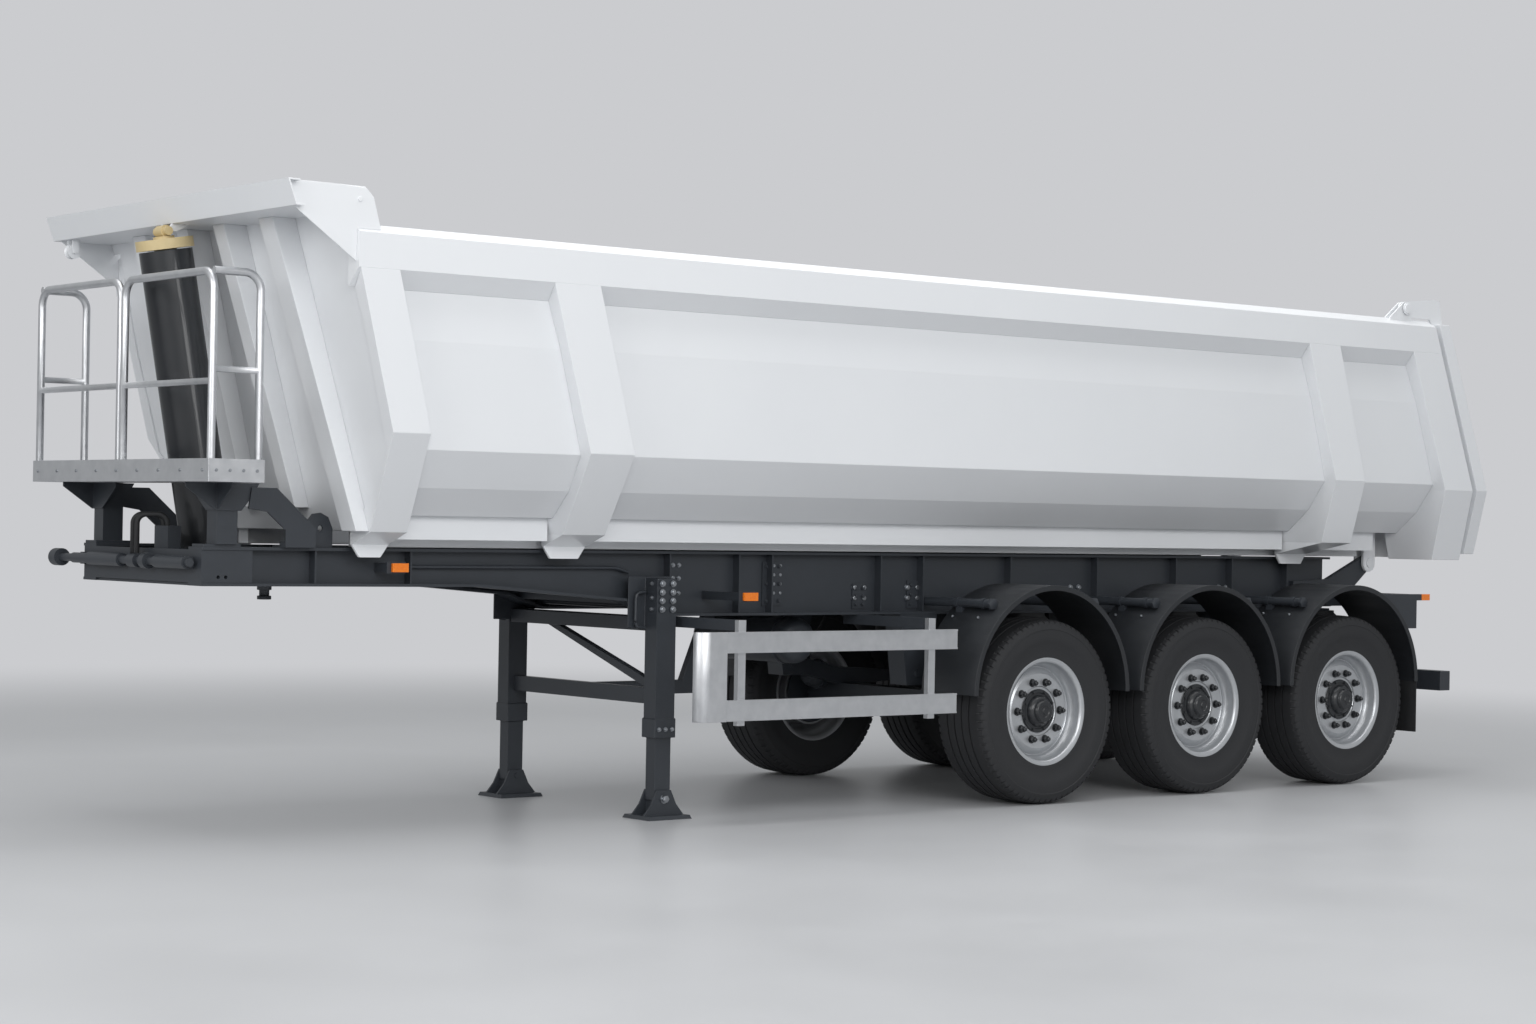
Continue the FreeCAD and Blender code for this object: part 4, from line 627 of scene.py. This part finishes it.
# ------------------------------------------------------------------ running gear trim
class TRAILER_OT_brakes(bpy.types.Operator):
    """Makes the brake chambers and their air hoses"""
    bl_idname = "trailer.brakes"
    bl_label = "Brake Chambers"

    def execute(self, context):
        chambers, hoses = bmesh.new(), bmesh.new()
        for number in range(3):
            x = -AXLE_PITCH * number
            for side in SIDES:
                spot = at(x + 95, side * 640, 640)
                lathe(chambers, [(0, 0.01), (0, 60), (20, 78), (62, 84), (62, 92), (74, 92),
                                 (74, 84), (120, 80), (148, 62), (152, 0.01)], spot, (1, 0, 0.12), 32)
                tube(chambers, [spot, spot + Vector((-0.13, 0, -0.03))], 12)
                route = [spot + Vector((0.13, 0, 0.05)), at(x + 250, side * 630, 820),
                         at(x + 190, side * 560, 960), at(x + 150, side * 548, 1075)]
                tube(hoses, bent(route, 90), 8)
        piece("brake_chambers", chambers, "chassis", "chassis_grey")
        piece("brake_hoses", hoses, "chassis", "rubber")
        return {"FINISHED"}


def make_leg_cranks():
    """Crank loop before each landing leg, and the shaft that joins the legs."""
    cranks = bmesh.new()
    for side in SIDES:
        x, y = LEG_X + 78, side * 660
        loop = [at(x, y, 1190), at(x + 60, y, 1185), at(x + 62, y, 1010), at(x, y, 1000)]
        tube(cranks, bent(loop, 30), 9)
    tube(cranks, [at(2300, -640, 1105), at(2300, 640, 1105)], 15)
    piece("leg_cranks", cranks, "chassis", "chassis_grey")


def make_frame_pipes():
    """Air pipe along each side of the neck."""
    pipes = bmesh.new()
    for side in SIDES:
        y = side * 590
        tube(pipes, bent([at(3850, y, 1315), at(2570, y, 1315), at(2500, y, 1290)], 40), 9)
    piece("frame_pipes", pipes, "chassis", "chassis_grey")


def make_guard_lips():
    """Raised lips along both edges of the side guard's bars."""
    lips = bmesh.new()
    low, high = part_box("side_guards")
    end_x = at(GUARD_LIP_END, 0, 0).x
    for z0, z1 in GUARD_BARS:
        for z in (z0, z1 - GUARD_LIP):
            block(lips, Vector((low.x, high.y - 0.004, z * MM)),
                  Vector((end_x, high.y + 0.0035, (z + GUARD_LIP) * MM)), 1.5)
    piece("guard_lips", lips, "chassis", "aluminium")


def make_stay_clamps():
    """End caps and clamp rings of the mudguard stays, and the bolts of their straps."""
    clamps, straps = bmesh.new(), bmesh.new()
    stay_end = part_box("mudguard_stays")[1].y / MM
    for number, shifts in enumerate(((STAY_X, -STAY_X), (STAY_X, -STAY_X), (STAY_X,))):
        arch_x = -AXLE_PITCH * number
        for shift in shifts:
            x = arch_x + shift
            slope = math.atan2(STAY_Z - ARCH_Z, shift)
            for side in SIDES:
                end = at(x, side * stay_end, STAY_Z)
                cap = [(-6, 25), (-6, 34), (12, 34), (14, 30), (14, 0.01)]
                lathe(clamps, cap, end, (0, side, 0), 6)
                for y in (880, 1090):
                    ring = at(x, side * y, STAY_Z)
                    band = [(-14, 25.5), (-14, 31), (14, 31), (14, 25.5)]
                    lathe(clamps, band, ring, (0, side, 0), 20)
                    for turn in (0.0, 0.135):
                        angle = slope - math.copysign(turn, shift)
                        out = Vector((math.cos(angle), 0, math.sin(angle)))
                        foot = at(arch_x, side * y, ARCH_Z) + out * STRAP_RADIUS * MM
                        bolt(straps, foot, out, 13, 9)
    piece("stay_clamps", clamps, "chassis", "chassis_grey")
    piece("strap_bolts", straps, "chassis", "chassis_grey", "zinc")


def make_canopy_roller():
    """Roller in a fork at the canopy's right end."""
    roller = bmesh.new()
    spot = at(4868, -1120, 2915)
    reel = [(-22, 12), (-22, 38), (-14, 32), (14, 32), (22, 38), (22, 12)]
    lathe(roller, reel, spot, (0, 1, 0), 28)
    tube(roller, [spot - Vector((0, 0.035, 0)), spot + Vector((0, 0.035, 0))], 12)
    for y in (-32, 28):
        block(roller, spot + Vector((-0.02, y * MM, -0.01)),
              spot + Vector((0.02, (y + 5) * MM, 0.068)), 1.5)
    piece("canopy_roller", roller, "dump_body", "body_white")


class TRAILER_OT_trim(bpy.types.Operator):
    """Makes the leg cranks, frame pipes, guard lips, stay clamps and canopy roller"""
    bl_idname = "trailer.trim"
    bl_label = "Trim"

    def execute(self, context):
        make_leg_cranks()
        make_frame_pipes()
        make_guard_lips()
        make_stay_clamps()
        make_canopy_roller()
        return {"FINISHED"}


# ------------------------------------------------------------------ studio
BACKGROUND = "#CBCCCF"


def studio_floor(name):
    # Cast concrete sealed with a clear floor paint: pale grey, cloudy, slightly shiny.
    # Well away from the trailer it fades to the plain background, so that no edge shows.
    material, tree, shader, place = surface(name, IOR=1.45)
    mottle(tree, shader, place, 1600, "#B0B1B3", "#BFC0C2", 0.3, 0.48)
    grain(tree, shader, place, 60, 0.4, 0.06)
    away = add_node(tree, "ShaderNodeVectorMath", {"operation": "LENGTH"}, {0: place})
    fade = add_node(tree, "ShaderNodeMapRange", {"interpolation_type": "SMOOTHSTEP"}, {
        "Value": away.outputs["Value"], "From Min": 6.0, "From Max": 15.0})
    seen = add_node(tree, "ShaderNodeLightPath")
    plain = add_node(tree, "ShaderNodeMath", {"operation": "MULTIPLY"}, {
        0: fade.outputs["Result"], 1: seen.outputs["Is Camera Ray"]})
    glow = add_node(tree, "ShaderNodeEmission", inputs={"Color": colour(BACKGROUND)})
    both = add_node(tree, "ShaderNodeMixShader", inputs={
        0: plain.outputs["Value"], 1: shader.outputs["BSDF"], 2: glow.outputs["Emission"]})
    output = next(node for node in tree.nodes if node.type == "OUTPUT_MATERIAL")
    tree.links.new(both.outputs["Shader"], output.inputs["Surface"])
    return material


def studio_world(scene):
    """Soft light from all round; the camera sees the plain background colour."""
    world = bpy.data.worlds.new("studio")
    scene.world = world
    world.use_nodes = True
    tree = world.node_tree
    tree.nodes.clear()
    seen = add_node(tree, "ShaderNodeLightPath")
    light = add_node(tree, "ShaderNodeBackground", inputs={"Color": colour("#D8DADC"), "Strength": 0.72})
    plain = add_node(tree, "ShaderNodeBackground", inputs={"Color": colour(BACKGROUND), "Strength": 1.0})
    both = add_node(tree, "ShaderNodeMixShader", inputs={
        0: seen.outputs["Is Camera Ray"], 1: light.outputs["Background"], 2: plain.outputs["Background"]})
    add_node(tree, "ShaderNodeOutputWorld", inputs={"Surface": both.outputs["Shader"]})


def area_lamp(name, place, target, size, watts):
    data = bpy.data.lights.new(name, "AREA")
    data.shape = "RECTANGLE"
    data.size, data.size_y = size
    data.energy = watts
    lamp = bpy.data.objects.new(name, data)
    bpy.context.collection.objects.link(lamp)
    lamp.location = place
    lamp.rotation_euler = (Vector(target) - Vector(place)).to_track_quat("-Z", "Y").to_euler()


class TRAILER_OT_stage(bpy.types.Operator):
    """Makes the floor, plain background, lamps and camera"""
    bl_idname = "trailer.stage"
    bl_label = "Studio"

    def execute(self, context):
        studio = settings().studio
        heading = Vector((math.cos(studio.heading), math.sin(studio.heading), 0))
        eye = Vector(studio.camera_place)
        mesh = bmesh.new()
        bmesh.ops.create_circle(mesh, cap_ends=True, segments=96, radius=studio.floor_radius)
        data = bpy.data.meshes.new("studio_floor")
        mesh.to_mesh(data)
        mesh.free()
        ground = bpy.data.objects.new("studio_floor", data)
        context.collection.objects.link(ground)
        data.materials.append(studio_floor("sealed_concrete"))
        area_lamp("overhead", (0, 1.0, 9.0), (0, 0, 0), (14, 7), 620)
        area_lamp("side_fill", (7.0, 14.0, 6.5), (0, 0, 1.3), (12, 6), 1050)
        area_lamp("front_fill", (14.0, 3.0, 5.0), (3, 0, 1.5), (6, 4), 380)
        studio_world(context.scene)
        lens_data = bpy.data.cameras.new("camera")
        lens_data.lens, lens_data.sensor_width = studio.lens, 36.0
        camera = bpy.data.objects.new("camera", lens_data)
        context.collection.objects.link(camera)
        forward = heading * math.cos(studio.tilt) + Vector((0, 0, math.sin(studio.tilt)))
        right = forward.cross(Vector((0, 0, 1))).normalized()
        up = right.cross(forward)
        level = right * math.cos(studio.roll) + up * math.sin(studio.roll)
        above = up * math.cos(studio.roll) - right * math.sin(studio.roll)
        turn = Matrix((level, above, -forward)).transposed().to_4x4()
        camera.matrix_world = Matrix.Translation(eye) @ turn
        context.scene.camera = camera
        context.scene.view_settings.view_transform = "Standard"
        return {"FINISHED"}


# ------------------------------------------------------------------ panel and start
STEPS = (TRAILER_OT_stage, TRAILER_OT_paint, TRAILER_OT_wheels, TRAILER_OT_fasteners,
         TRAILER_OT_brakes, TRAILER_OT_trim)


class TRAILER_PT_panel(bpy.types.Panel):
    """Lists the trailer's pieces"""
    bl_idname = "TRAILER_PT_panel"
    bl_label = "Dump Trailer"
    bl_space_type = "VIEW_3D"
    bl_region_type = "UI"
    bl_category = "Trailer"

    def draw(self, context):
        for step in STEPS:
            self.layout.operator(step.bl_idname)


CLASSES = (TyreSettings, WheelSettings, FastenerSettings, FinishSettings, StudioSettings,
           TrailerSettings, *STEPS, TRAILER_PT_panel)


def register():
    for each in CLASSES:
        bpy.utils.register_class(each)
    bpy.types.Scene.dump_trailer = PointerProperty(type=TrailerSettings)


def unregister():
    del bpy.types.Scene.dump_trailer
    for each in reversed(CLASSES):
        bpy.utils.unregister_class(each)


def main():
    register()
    for step in STEPS:
        group, name = step.bl_idname.split(".")
        getattr(getattr(bpy.ops, group), name)()


if __name__ == "__main__":
    main()
